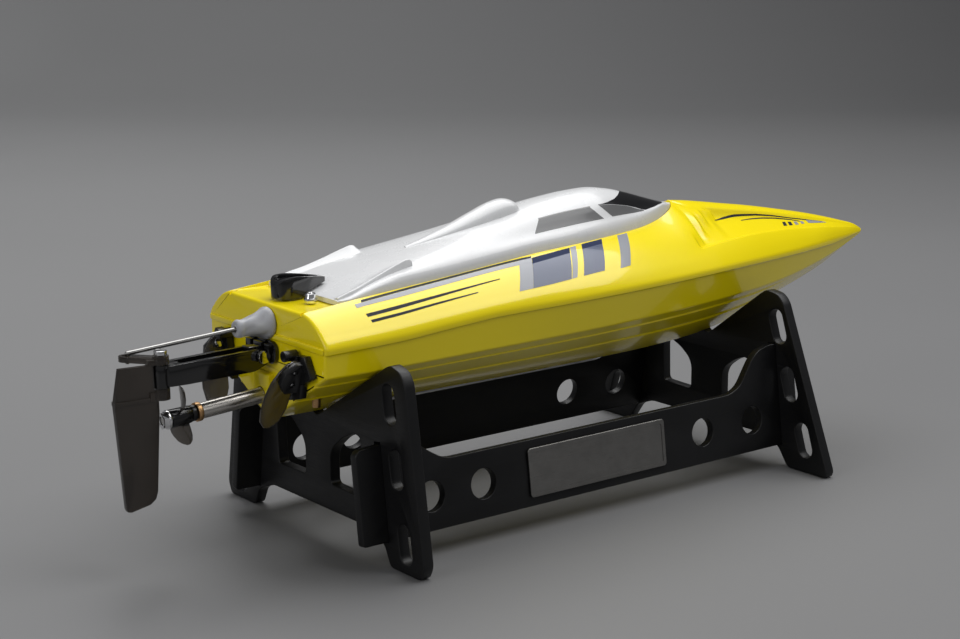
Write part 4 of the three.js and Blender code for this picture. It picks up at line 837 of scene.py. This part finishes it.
# ------------------------------------------------------------------ canopy
CANOPY_AFT, CANOPY_TIP, CANOPY_WALL = -5.5, 195.4, 1.4
topZ = curve([[-5.5, 105.1], [0, 106.3], [6.5, 108.3], [20, 112], [40, 116.1], [60, 119.9], [80, 123.7], [100, 127.5], [120, 131], [134, 132.5], [146, 133], [157, 131.7], [167.4, 129.2], [180, 125.4], [190, 122.5], [193.5, 121.7], [195.4, 121.3]])
FY = {
    "w0": curve([[-5.5, 0.84], [60, 0.82], [100, 0.81], [140, 0.83], [165, 0.81], [196, 0.78]]),
    "w1": curve([[-5.5, 0.62], [60, 0.61], [100, 0.63], [140, 0.62], [165, 0.58], [196, 0.55]]),
    "r1": curve([[-5.5, 0.35], [196, 0.33]]), "r2": curve([[-5.5, 0.17], [196, 0.16]]),
}
FZ = {
    "w0": curve([[-5.5, 0.88], [20, 0.86], [40, 0.78], [60, 0.70], [80, 0.56], [100, 0.47], [140, 0.38], [165, 0.44], [180, 0.62], [196, 0.88]]),
    "w1": curve([[-5.5, 0.95], [20, 0.94], [60, 0.88], [80, 0.83], [100, 0.81], [140, 0.74], [165, 0.77], [196, 0.94]]),
    "r1": curve([[-5.5, 0.98], [60, 0.97], [100, 0.945], [140, 0.915], [196, 0.97]]), "r2": curve([[-5.5, 0.995], [196, 0.99]]),
}
SKIRT = ((0.985, 0.62, 2.7), (0.935, 0.84, 4.9))   # share of the half width, of the height, and its most in mm


def canopy_half(x, t=0.0):
    e = edgeY(x) - 0.55
    h = max(0.3, e * (0.93 + 0.07 * smooth(-5.5, -2, x) if x < -2 else 1))
    ze = max(edgeZ(x), seatZ(x) + 0.5) + 0.15
    zt = max(topZ(x), ze + 0.35)
    H = zt - ze
    foot = seatZ(x) + 0.35 + 0.45 * smooth(184, 191, x)
    out = [[0, foot], [h, foot], [h, max(ze, foot + 0.1)]]
    for fy, fz, most in SKIRT:
        out.append([h * fy, ze + min(H * fz, most)])
    for k in ("w0", "w1", "r1", "r2"):
        out.append([h * FY[k](x), ze + H * FZ[k](x)])
    out.append([0, zt])
    if not t:
        return out
    c = inset_half(out, t)
    c[0], c[1] = [0, 95], [max(0.3, h - t), 95]
    return c


def canopy_ring(x, t=0.0):
    k = min(1.0, edgeY(x) / 12)
    return ring3(x, full_ring(canopy_half(x, t), [v * k for v in (0, 0.15, 0.3, 5, 2.6, 2.6, 3.4, 9, 9, 9)]))


CX = stations(CANOPY_AFT, CANOPY_TIP, 2.5, (-4.8, -3.5, 190, 192, 193.5, 194.4))
canopy = loft("canopy_skin", [canopy_ring(x) for x in CX])
cavity = loft("canopy_cavity", [canopy_ring(x, CANOPY_WALL) for x in stations(8, 186, 3.0)])


def domed(x, yc, w, z0, z1, n=18, flat=0.6):
    r = [(x, yc + w * math.cos(math.pi * i / n), z0 + (z1 - z0) * math.sin(math.pi * i / n) ** flat) for i in range(n + 1)]
    return r + [(x, yc - w, z0 - 3), (x, yc + w, z0 - 3)]


humpW = curve([[46, 1.2], [56, 2.9], [70, 4.6], [82, 5.8], [94, 6.5], [101, 6.2], [103.4, 5.2], [104.5, 4.0]])
humpZ = curve([[46, 117.6], [56, 120.2], [70, 124.4], [82, 128.6], [92, 131.9], [98, 132.9], [102, 131.9], [103.6, 130.4], [104.5, 128.9]])
hump = loft("hump", [domed(x, 0, humpW(x), topZ(x) - 0.8, max(humpZ(x), topZ(x) + 0.1)) for x in stations(46, 104.5, 2.0, (101, 102, 103, 103.6, 104, 104.3))])
canopy = boolean(canopy, hump, "UNION")
# a kick-up on each rear quarter: a gentle ramp from the middle to a crest, and a short steep wall outside it
qY = curve([[-4.6, 24.6], [3, 24.4], [10, 23.0], [20, 21.6], [33, 20.6]])
qZ = curve([[-4.6, 106.2], [0, 107.6], [8, 109.6], [18, 112.6], [28, 115.8], [32, 116.8], [33.4, 116.7], [34.6, 115.9]])
for s in (1, -1):
    qr = []
    for x in stations(-4.6, 34.6, 1.4, (33.4, 34)):
        yc, zc, base = qY(x), qZ(x), topZ(x) - 1.2
        zlow = max(base - 1.5, seatZ(x) + 0.6)
        sec = [(yc - 12.5, min(base, zc - 0.3))]
        for t in (0.15, 0.3, 0.45, 0.6, 0.72, 0.82, 0.9, 0.96):
            sec.append((yc - 12.5 + 12.5 * t, min(base, zc - 0.3) + (zc - min(base, zc - 0.3)) * t ** 2.2))
        sec += [(yc - 0.1, zc), (yc + 0.35, zc - 0.25), (yc + 0.6, zc - 0.8), (yc + 0.9, zlow), (yc - 12.5, zlow)]
        qr.append([(x, s * p[0], p[1]) for p in sec])
    canopy = boolean(canopy, loft("quarter", qr), "UNION")
CANOPY_BVH = BVHTree.FromObject(canopy, DG())
canopy = boolean(canopy, cavity, "DIFFERENCE")
finish(canopy, "canopy", WHITE, ["canopy"], 30)


# ------------------------------------------------------------------ printed graphics and windows
def resample(line, n):
    d = [0.0]
    for p, q in zip(line, line[1:]):
        d.append(d[-1] + (Vector(q) - Vector(p)).length)
    out, j = [], 0
    for i in range(n + 1):
        s = d[-1] * i / n
        while j < len(d) - 2 and d[j + 1] < s:
            j += 1
        out.append(Vector(line[j]).lerp(Vector(line[j + 1]), (s - d[j]) / max(1e-9, d[j + 1] - d[j])))
    return out


def printed(name, tree, top, bottom, nu, nv, body, material, lift=0.09):
    """A thin film lying on the shell between two lines."""
    a, b = resample(top, nu), resample(bottom, nu)
    outer, inner = [], []
    for i in range(nu + 1):
        for j in range(nv + 1):
            p = Vector(W(a[i].lerp(b[i], j / nv)))
            q, n, _, _ = tree.find_nearest(p)
            if n.dot(Vector((0, p.y, 0.03))) < 0:
                n = -n
            outer.append(q + n * (lift / 1000.0))
            inner.append(q - n * 0.00004)
    w, h = nu + 1, nv + 1
    off = w * h
    faces = grid_faces(w, h) + grid_faces(w, h, True, off)
    edge = [i * h for i in range(w)] + [(w - 1) * h + j for j in range(1, h)] + [i * h + h - 1 for i in range(w - 2, -1, -1)] + [j for j in range(h - 2, 0, -1)]
    for p, q in zip(edge, edge[1:] + edge[:1]):
        faces.append((p, q, off + q, off + p))
    me = bpy.data.meshes.new(name)
    me.from_pydata([tuple(v) for v in outer + inner], [], faces)
    bm = bmesh.new()
    bm.from_mesh(me)
    bmesh.ops.remove_doubles(bm, verts=bm.verts, dist=2e-6)
    bmesh.ops.recalc_face_normals(bm, faces=bm.faces)
    bm.to_mesh(me)
    bm.free()
    o = bpy.data.objects.new(name, me)
    scene.collection.objects.link(o)
    finish(o, body, material, None, 40)
    return o


def mirrored(line):
    return [(p[0], -p[1], p[2]) for p in line]


for key, mat, body, nu, nv, top, bottom in (
    ("line", P_DARK, "hull", 24, 2, [(3.2, -29.8, 105.1), (12.6, -29.6, 105.9), (22.6, -29.2, 106.7), (43.2, -28.6, 108.3), (64.2, -28.2, 110.1), (80.4, -27.9, 111.4), (91.8, -27.9, 112.0)], [(2.2, -31.3, 104.5), (11.6, -30.9, 105.3), (21.7, -30.5, 106.2), (42.1, -30.0, 107.9), (63.1, -29.6, 109.6), (79.4, -29.2, 110.9), (90.9, -29.0, 111.5)]),
    ("band", P_GREY, "hull", 24, 3, [(-1.1, -31.5, 104.1), (2.0, -31.5, 104.4), (11.5, -31.1, 105.2), (21.6, -30.7, 106.1), (42.0, -30.2, 107.8), (62.9, -29.8, 109.5), (79.2, -29.4, 110.8), (84.1, -29.3, 111.1)], [(-1.4, -33.7, 103.1), (1.6, -33.5, 103.4), (9.9, -33.4, 104.1), (19.7, -33.4, 104.8), (40.0, -32.8, 106.5), (61.1, -32.2, 108.4), (77.3, -31.7, 109.6), (82.3, -31.7, 109.9)]),
    ("C", P_GREY, "hull", 5, 16, [(84.1, -29.2, 111.1), (91.0, -29.1, 111.5)], [(74.3, -42.0, 101.3), (81.7, -41.8, 101.6)]),
    ("N", P_NAVY, "hull", 12, 6, [(91.2, -29.1, 111.5), (102.2, -28.0, 112.2), (114.3, -26.5, 112.8)], [(88.9, -32.4, 109.8), (99.4, -31.4, 110.5), (111.8, -29.8, 111.3)]),
    # D and F: the navy print with a painted reflection of the softbox
    ("D", P_NAVY_PAINTED_REFLECTION, "hull", 12, 14, [(88.9, -32.4, 109.8), (99.4, -31.4, 110.5), (111.8, -29.8, 111.3)], [(81.8, -41.8, 101.6), (92.2, -41.4, 102.0), (103.7, -40.6, 102.6)]),
    ("E", P_GREY, "hull", 4, 16, [(114.8, -26.3, 112.9), (118.4, -25.8, 113.1)], [(104.1, -40.6, 102.7), (107.2, -40.2, 102.9)]),
    ("M", P_NAVY, "hull", 8, 5, [(122.2, -25.1, 113.2), (136.0, -22.7, 113.7)], [(119.9, -28.5, 111.8), (133.3, -26.3, 112.4)]),
    ("F", P_NAVY_PAINTED_REFLECTION, "hull", 8, 14, [(119.9, -28.5, 111.8), (133.3, -26.3, 112.4)], [(111.1, -40.0, 103.0), (124.0, -38.7, 103.5)]),
    ("G", P_GREY, "hull", 6, 18, [(146.4, -21.2, 113.9), (153.4, -19.9, 114.0)], [(133.7, -38.1, 103.2), (140.4, -37.0, 103.5)]),
    ("P1", P_DARK, "hull", 26, 3, [(0.5, -37.1, 101.0), (17.1, -36.9, 102.4), (42.3, -36.5, 104.5), (68.6, -36.0, 106.5)], [(0.6, -38.4, 100.0), (16.2, -38.2, 101.3), (41.7, -37.4, 103.8), (68.3, -36.4, 106.3)]),
    ("P2", P_DARK, "hull", 22, 3, [(1.1, -39.7, 99.0), (15.2, -39.6, 100.0), (35.1, -39.4, 101.7), (54.6, -39.3, 103.2)], [(1.2, -40.6, 98.1), (14.5, -40.5, 99.1), (34.6, -40.1, 101.1), (54.4, -39.6, 102.9)]),
    ("sw", P_DARK, "hull", 30, 3, [(217.3, -10.0, 111.7), (224.9, -7.6, 112.0), (232.6, -6.5, 112.4), (239.8, -6.1, 111.9), (249.7, -5.7, 110.8), (261.1, -5.4, 109.0), (274.0, -5.2, 106.4), (285.8, -4.9, 104.2), (298.1, -4.3, 101.8)], [(216.9, -10.4, 111.5), (223.7, -8.9, 111.3), (231.9, -7.2, 111.4), (239.3, -6.6, 111.0), (249.4, -6.0, 110.1), (260.9, -5.6, 108.5), (273.8, -5.4, 106.0), (285.4, -5.2, 103.8), (297.6, -4.7, 101.7)]),
    ("arc", P_DARK, "hull", 20, 2, [(236.2, -9.0, 109.7), (244.0, -7.3, 109.4), (253.2, -6.4, 108.8), (262.7, -5.9, 107.6), (273.4, -5.7, 105.7), (280.1, -6.2, 104.1)], [(235.8, -9.5, 109.5), (243.2, -8.1, 109.1), (252.7, -6.9, 108.3), (262.3, -6.3, 107.2), (273.0, -6.2, 105.4), (279.6, -6.6, 103.9)]),
    ("b1", P_DARK, "hull", 3, 4, [(265.3, -8.2, 105.5), (267.6, -7.9, 105.2)], [(263.5, -11.2, 104.1), (266.4, -10.6, 103.9)]),
    ("b2", P_DARK, "hull", 3, 4, [(269.6, -7.7, 105.1), (272.1, -7.5, 104.8)], [(268.4, -10.3, 103.7), (271.3, -9.7, 103.5)]),
    ("b3", P_GREY, "hull", 3, 4, [(274.4, -7.1, 104.6), (276.8, -6.9, 104.3)], [(273.7, -9.3, 103.3), (276.6, -8.7, 103.2)]),
    ("b4", P_GREY, "hull", 3, 4, [(279.6, -6.4, 104.1), (281.8, -6.2, 103.8)], [(279.3, -8.1, 103.1), (282.0, -7.5, 102.9)]),
    ("ar", P_GREY, "hull", 8, 3, [(285.2, -5.1, 104.0), (290.2, -4.8, 103.2), (301.0, -4.3, 101.1)], [(285.5, -6.9, 102.7), (290.9, -6.2, 102.0), (300.6, -4.6, 101.0)]),
    ("w1", GLASS_GREY, "canopy", 16, 10, [(142.6, -13.1, 126.9), (151.1, -12.3, 126.2), (161.8, -11.2, 124.3), (171.2, -11.3, 121.5)], [(148.4, -15.9, 121.6), (153.6, -15.0, 121.5), (162.4, -13.3, 121.3), (171.2, -11.6, 121.3)]),
    ("w2", GLASS_GREY, "canopy", 18, 12, [(105.7, -15.9, 124.7), (120.1, -15.2, 126.1), (136.6, -13.8, 126.7)], [(99.6, -20.9, 119.8), (120.6, -19.4, 120.9), (142.4, -16.9, 121.4)]),
    ("w3", GLASS_BLACK, "canopy", 18, 2, [(106.0, -15.3, 125.2), (120.5, -14.7, 126.5), (137.0, -13.4, 127.1)], [(105.7, -15.9, 124.7), (120.1, -15.2, 126.1), (137.1, -13.8, 126.6)]),
):
    tree = OUTER_BVH if body == "hull" else CANOPY_BVH
    lift = 0.13 if key == "w3" else 0.09
    printed("print_" + key + "_r", tree, top, bottom, nu, nv, body, mat, lift)
    printed("print_" + key + "_l", tree, mirrored(top), mirrored(bottom), nu, nv, body, mat, lift)
ROOF = [(165.0, 0.0, 130.3), (163.6, -3.2, 130.0), (158.9, -7.2, 129.1), (154.6, -9.8, 128.2), (149.4, -11.6, 127.6), (145.6, -12.5, 127.2), (142.4, -12.8, 127.2)]
LOW = [(191.6, 0.0, 122.1), (190.4, -3.2, 122.1), (187.0, -5.9, 122.3), (180.2, -9.2, 122.0), (172.1, -11.3, 121.5), (167.0, -10.8, 123.1), (161.9, -11.1, 124.5), (151.3, -12.2, 126.4), (142.2, -13.0, 127.1)]
printed("print_windscreen", CANOPY_BVH, mirrored(ROOF)[:0:-1] + ROOF, mirrored(LOW)[:0:-1] + LOW, 56, 22, "canopy", GLASS_BLACK)


# ------------------------------------------------------------------ stand, latch and softened edges
def place_by(o, m):
    """Move a mesh drawn in boat millimetres by a matrix given in boat millimetres."""
    w = Matrix.Scale(0.001, 4) @ Matrix.Translation((SHIFT, 0, 0))
    o.data.transform(w @ m @ w.inverted())
    return o


def vee(x, y, off):
    return keelZ(x) + (chineZ(x) - keelZ(x)) * (y / chineY(x)) + off


def stadium(cx, cy, half, r, angle, n=18):
    c, s, out = math.cos(angle), math.sin(angle), []
    for e in (0, 1):
        for i in range(n + 1):
            a = -math.pi / 2 + e * math.pi + i / n * math.pi
            px, py = (-half if e else half) + r * math.cos(a), r * math.sin(a)
            out.append((cx + px * c - py * s, cy + px * s + py * c))
    return out


def disc(cx, cy, r, n=48):
    return [(cx + r * math.cos(2 * math.pi * i / n), cy + r * math.sin(2 * math.pi * i / n)) for i in range(n)]


def mirror_y(pts):
    return [(-p[0], p[1]) for p in reversed(pts)]


STAND_T, RAIL_T, FRONT_X, RAIL_LEAN = 5.0, 4.0, 223.9, math.radians(7.4)


def rail_matrix(s):
    return Matrix.Translation((0, s * 47.4, 24.1)) @ Matrix.Rotation(s * RAIL_LEAN, 4, "X") @ Matrix.Translation((0, 0, -24.1))


def end_plate(name, x0, outer, window, ovals, tilt, slot_x, slot_top):
    full = list(outer) + mirror_y(outer)[:-1]
    holes = [fillet(w, 2.4, 5, True) for w in (window, mirror_y(window))]
    for y, z in ovals:
        for s in (1, -1):
            holes.append(stadium(s * y, z, 4.2, 4.1, math.pi / 2 + s * tilt))
    o = prism(name, fillet(full, 2.2, 4, True), "yz", x0, x0 + STAND_T, holes, 0.45, 2)
    for s in (1, -1):
        cut = block("slot", slot_x[0], slot_x[1], -(RAIL_T / 2 + GAP), RAIL_T / 2 + GAP, 9.9 - GAP, slot_top)
        o = boolean(o, place_by(cut, rail_matrix(s)), "DIFFERENCE")
    return o


rear = end_plate("stand_rear", 0.0,
    [(0, vee(2, 0, -1.5)), (1.4, vee(2, 0, -1.1)), (51, vee(2, 51, -0.85)), (54, 83.4), (60.5, 81.6), (63.6, 77), (74.9, 5.4), (72.4, 0), (52, 0), (47.8, 8.4), (36, 12.8)],
    [(9.5, 24.4), (30.8, 24), (32.2, 49), (27.6, 50.2), (18.4, 46), (11.5, 40.4), (9.5, 36.5)], [(52.6, 67.4), (56.8, 41.6), (62.2, 12)], 0.16, (-2, 7), 50.6)
finish(rear, "stand", STAND, ["stand_rear_plate"], 34)
front = end_plate("stand_front", FRONT_X,
    [(0, 54.9), (1.4, 55.3), (34.3, 79.4), (38.4, 82.2), (46, 81), (49.6, 77.6), (79.6, 3), (78.6, 0), (55, 0), (48.5, 9), (38, 12.8)],
    [(10.5, 24.8), (30, 25.4), (30.6, 45.4), (25.6, 47.6), (18.4, 44.6), (12.6, 40.4), (10.5, 36.5)], [(46.4, 65.8), (54.6, 39.8), (64.6, 15)], 0.32, (222, 231), 57.9)
finish(front, "stand", STAND, ["stand_front_plate"], 34)
SIDE = [(-12, 9.9), (-12, 47), (-10, 49), (-1, 49.4), (8, 50.2), (15.5, 48.6), (23.7, 42.6), (31.1, 38.4), (192.7, 38.4), (199.5, 41), (208.4, 52.4), (213, 56), (220, 57.5), (227, 57.5), (235.5, 57), (235.5, 9.9)]
SIDE_R = [1.5, 1.2, 1.2, 6, 6, 4, 4, 5, 5, 4, 5, 4, 3, 3, 1.2, 1.5]
for s, side in ((1, "left"), (-1, "right")):
    r = prism("stand_side_" + side, fillet(SIDE, SIDE_R, 5, True), "xz", -RAIL_T / 2, RAIL_T / 2, [disc(x, z, 6.4) for x, z in ((22.8, 24.2), (49.4, 24.4), (174.4, 24.2), (205.7, 24.4))], 0.4, 2)
    place_by(r, rail_matrix(s))
    finish(r, "stand", STAND, ["stand_rail_" + side], 34)

# plaque: a plain brushed plate with a rolled edge and a faint pressed border, left blank
PLATE = metal("brushed_dark_plate", (0.22, 0.215, 0.205), 0.36, streak=(2, 60, 60))
pl = prism("plaque", fillet([(72.8, 13.8), (150.2, 13.8), (150.2, 34.8), (72.8, 34.8)], 1.8, 6, True), "xz", 0, 1, (), 0.35, 3)
dent = prism("dent", fillet([(74.6, 15.6), (148.4, 15.6), (148.4, 33), (74.6, 33)], 1.2, 5, True), "xz", -0.5, 0.22)
pl = boolean(pl, dent, "DIFFERENCE")
place_by(pl, rail_matrix(-1) @ Matrix.Translation((0, -RAIL_T / 2 - 1 - GAP, 0)))
finish(pl, "stand", PLATE, ["stand_name_plate"], 34)

# latch: a teardrop knob with a raised rim round a dished top
POST_X = -13.5
plan = [(POST_X + 5.9 * math.cos(math.pi / 2 + i / 20 * math.pi), 5.9 * math.sin(math.pi / 2 + i / 20 * math.pi)) for i in range(21)]
plan += [(POST_X + 9, -4.9), (POST_X + 18, -2.2), (3.7, -1.25), (4.4, 0), (3.7, 1.25), (POST_X + 18, 2.2), (POST_X + 9, 4.9)]
plan = fillet(plan, 1.5, 3, True)
side = fillet([(-19.4, 103.6), (-19.3, 109.4), (-16.4, 112.1), (-11, 112.5), (0, 111), (6.6, 109.9), (6.6, 108.9), (0.5, 107.6), (-7.6, 105.2), (-8.4, 103.6)], [1, 1.6, 1.6, 4, 6, 0.1, 0.1, 4, 2, 0.6], 4, True)


def shrink(pts, t):
    """An outline drawn in towards its long axis by t."""
    out, n = [], len(pts)
    for i, p in enumerate(pts):
        a, b = pts[i - 1], pts[(i + 1) % n]
        e = (b[0] - a[0], b[1] - a[1])
        l = math.hypot(*e) or 1
        out.append((p[0] - e[1] / l * t, p[1] + e[0] / l * t))
    return out


knob = boolean(upright("latch", plan, 100, 115), slab("profile", side, -10, 10), "INTERSECT")
small = [(POST_X + 4.2 * math.cos(math.pi / 2 + i / 20 * math.pi), 4.2 * math.sin(math.pi / 2 + i / 20 * math.pi)) for i in range(21)] + [(POST_X + 8.6, -3.3), (POST_X + 15, -1.0), (POST_X + 15.6, 0), (POST_X + 15, 1.0), (POST_X + 8.6, 3.3)]
dish = upright("dish", fillet(small, 0.8, 3, True), 100, 118)
floor_line = [(-19.6, 107.6), (-16.4, 110.6), (-11, 111.0), (0, 109.7), (6.6, 108.9), (6.6, 120), (-19.6, 120)]
dish = boolean(dish, slab("dish_floor", list(reversed(floor_line)), -10, 10), "INTERSECT")
knob = boolean(knob, dish, "DIFFERENCE")
knob = boolean(knob, block("rib", -12, 1.0, -0.55, 0.55, 109.4, 110.4), "UNION")
knob = boolean(knob, bar("post_hole", (POST_X, 0, 100), (POST_X, 0, 109), 1.7), "DIFFERENCE")
knob = bevel(knob, 0.4, 3, 32)
finish(knob, "latch", BLACK_GLOSS, ["latch_knob"], 36)


# boot: thin translucent rubber, a little crumpled, fixed to the transom and gripping the pushrod
def boot_ring(x, r, wrinkle):
    c, out = rod_at(x), []
    for i in range(56):
        a = 2 * math.pi * i / 56
        k = 1 + wrinkle * (0.055 * math.sin(4 * a + 0.42 * x) + 0.04 * math.sin(3 * a - 0.75 * x + 1.0) + 0.02 * math.sin(9 * a + 1.3 * x))
        out.append((x, c[1] + r * k * math.cos(a), c[2] + r * k * math.sin(a)))
    return out


outer = [(-37.3, 2.3), (-37.25, 2.9), (-37.0, 3.3), (-36.5, 3.6), (-35.8, 3.7), (-35.1, 3.55), (-34.4, 3.45), (-33.2, 3.65), (-31.8, 4.0), (-30.2, 4.4), (-28.8, 4.8), (-27.6, 5.15), (-26.7, 5.6), (-26.0, 6.15), (-25.5, 6.4), (-24.9, 6.5), (-24.2, 6.45), (-23.9, 6.2)]
bore = [(-23.9, 4.9), (-25, 4.4), (-26, 3.9), (-28, 3.4), (-30, 2.9), (-32, 2.5), (-34, 2.1), (-36, 1.7), (-37.0, 1.45), (-37.3, 1.4)]
skin = [boot_ring(x, r, smooth(-37, -35, x) * (1 - smooth(-27, -25.4, x))) for x, r in outer] + [boot_ring(x, r, 0) for x, r in bore]
verts = [p for q in skin for p in q]
faces = []
for i in range(len(skin)):
    j = (i + 1) % len(skin)
    for k in range(56):
        l = (k + 1) % 56
        faces.append((i * 56 + k, i * 56 + l, j * 56 + l, j * 56 + k))
boot = build("rod_boot", verts, faces)
shade(boot, 50)
boot.data.materials.clear()
boot.data.materials.append(BOOT_RUBBER)
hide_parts("pushrod_boot")
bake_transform(boot)


def smoother():
    """A modifier tree that shades everything smooth but the sharp edges."""
    g = bpy.data.node_groups.new("smooth_by_angle", "GeometryNodeTree")
    g.interface.new_socket("Geometry", in_out="INPUT", socket_type="NodeSocketGeometry")
    g.interface.new_socket("Geometry", in_out="OUTPUT", socket_type="NodeSocketGeometry")
    a, z = g.nodes.new("NodeGroupInput"), g.nodes.new("NodeGroupOutput")
    face, edge = g.nodes.new("GeometryNodeSetShadeSmooth"), g.nodes.new("GeometryNodeSetShadeSmooth")
    face.domain, edge.domain = "FACE", "EDGE"
    edge.inputs["Shade Smooth"].default_value = False
    ang = g.nodes.new("GeometryNodeInputMeshEdgeAngle")
    cmp = g.nodes.new("FunctionNodeCompare")
    cmp.data_type, cmp.operation = "FLOAT", "GREATER_THAN"
    cmp.inputs["B"].default_value = math.radians(34)
    g.links.new(ang.outputs["Unsigned Angle"], cmp.inputs["A"])
    g.links.new(a.outputs[0], face.inputs["Geometry"])
    g.links.new(face.outputs[0], edge.inputs["Geometry"])
    g.links.new(cmp.outputs["Result"], edge.inputs["Selection"])
    g.links.new(edge.outputs[0], z.inputs[0])
    return g


SMOOTHER = smoother()
REBUILT = ("hull_lower", "deck_upper", "canopy", "stand_rear_plate", "stand_front_plate", "stand_rail_left", "stand_rail_right", "stand_name_plate", "latch_knob", "pushrod_boot")
WIDTH = {"turn_fin_left": 0.16, "turn_fin_right": 0.16, "propeller": 0.12, "rudder": 0.35, "rudder_arm": 0.45, "rudder_arm_mount": 0.4, "battery_pack": 0.5,
         "fin_bracket_left": 0.4, "fin_bracket_right": 0.4, "steering_pushrod": 0.0, "pushrod_boot": 0.3, "control_unit": 0.5, "steering_servo": 0.4}
for name, o in NODES.items():
    if name in REBUILT:
        continue
    w = o.modifiers.new("weld", "WELD")
    w.merge_threshold = 0.000004
    width = WIDTH.get(name, 0.18)
    if width:
        b = o.modifiers.new("bevel", "BEVEL")
        b.width, b.segments, b.limit_method, b.angle_limit = width / 1000.0, 2, "ANGLE", math.radians(38)
        b.use_clamp_overlap = True
    s = o.modifiers.new("smooth", "NODES")
    s.node_group = SMOOTHER


# ------------------------------------------------------------------ camera, light and floor
cam_data = bpy.data.cameras.new("camera")
cam = bpy.data.objects.new("camera", cam_data)
scene.collection.objects.link(cam)
cam_data.sensor_width = 36.0
cam_data.lens = 1922.15 * 36.0 / 960.0
YAW, PITCH, ROLL = math.radians(52.479), math.radians(12.534), math.radians(-0.306)
fwd = Vector((math.cos(YAW) * math.cos(PITCH), math.sin(YAW) * math.cos(PITCH), -math.sin(PITCH)))
right = Vector((math.sin(YAW), -math.cos(YAW), 0.0))
up = right.cross(fwd)
r2 = right * math.cos(ROLL) + up * math.sin(ROLL)
u2 = up * math.cos(ROLL) - right * math.sin(ROLL)
cam.matrix_world = Matrix((
    (r2.x, u2.x, -fwd.x, (-414.66 + SHIFT) / 1000.0),
    (r2.y, u2.y, -fwd.y, -0.65158),
    (r2.z, u2.z, -fwd.z, 0.26314),
    (0, 0, 0, 1)))
cam_data.clip_start, cam_data.clip_end = 0.01, 60.0
scene.camera = cam


def floor_material():
    t = Tree("studio_paper")
    sep = t.t.nodes.new("ShaderNodeSeparateXYZ")
    t.link(t.coord.outputs["Object"], sep.inputs[0])
    # painted light falloff: the paper's colour runs from dark grey to pale grey across the floor and sweep
    painted_falloff = t.ramp(t.math("ADD", t.math("MULTIPLY", sep.outputs["X"], -0.16), t.math("ADD", t.math("MULTIPLY", sep.outputs["Y"], 0.24), 0.30)),
                  [(0.0, (0.125, 0.125, 0.128)), (0.30, (0.165, 0.165, 0.168)), (0.62, (0.30, 0.30, 0.303)), (1.0, (0.62, 0.62, 0.625))])
    t.to("Base Color", t.mix(t.span(t.noise(2.0, 2.0), 0.0, 0.25, 0.3, 0.7), painted_falloff, (0.2, 0.2, 0.2)))
    t.set(Roughness=0.55)
    t.bump(t.noise(500.0, 2.0), 0.00003, 0.3)
    return t.m


def sweep():
    """A paper sweep: level floor, then a wide curve up behind the object."""
    prof = [(-7.0, 0.0), (-3.0, 0.0), (-1.6, 0.0), (-0.6, 0.0), (0.0, 0.0), (0.8, 0.0), (1.5, 0.0)]
    for i in range(1, 13):
        a = i / 12 * math.pi / 2
        prof.append((1.5 + 0.9 * math.sin(a), 0.9 - 0.9 * math.cos(a)))
    prof.append((2.4, 3.2))
    d = Vector((math.cos(YAW), math.sin(YAW), 0))
    s = Vector((math.sin(YAW), -math.cos(YAW), 0))
    verts, n = [], len(prof)
    for k in range(9):
        w = -7.0 + 14.0 * k / 8
        for q, h in prof:
            p = d * q + s * w
            verts.append((p.x, p.y, h - 0.0002))
    me = bpy.data.meshes.new("studio_floor")
    me.from_pydata(verts, [], grid_faces(9, n))
    for f in me.polygons:
        f.use_smooth = True
    o = bpy.data.objects.new("studio_floor", me)
    scene.collection.objects.link(o)
    me.materials.append(floor_material())


sweep()


def area(name, at, to, w, h, power, color=(1, 1, 1)):
    L = bpy.data.lights.new(name, "AREA")
    L.shape, L.size, L.size_y, L.energy, L.color = "RECTANGLE", w, h, power, color
    o = bpy.data.objects.new(name, L)
    scene.collection.objects.link(o)
    o.location = at
    o.rotation_euler = (Vector(to) - Vector(at)).to_track_quat("-Z", "Y").to_euler()
    return o


area("key_overhead", (0.45, 0.10, 1.25), (0.12, 0.0, 0.05), 2.3, 1.2, 29.0)
area("fill_left", (-1.5, -0.15, 0.75), (0, 0, 0.08), 0.9, 0.8, 5.0)
area("fill_camera", (-0.5, -1.6, 0.9), (0, 0, 0.06), 1.2, 0.7, 2.0)
world = bpy.data.worlds.new("studio")
scene.world = world
world.use_nodes = True
world.node_tree.nodes["Background"].inputs["Color"].default_value = (0.72, 0.73, 0.75, 1)
world.node_tree.nodes["Background"].inputs["Strength"].default_value = 0.26
scene.view_settings.view_transform = "Standard"
scene.view_settings.look = "None"
scene.view_settings.exposure = 0.0
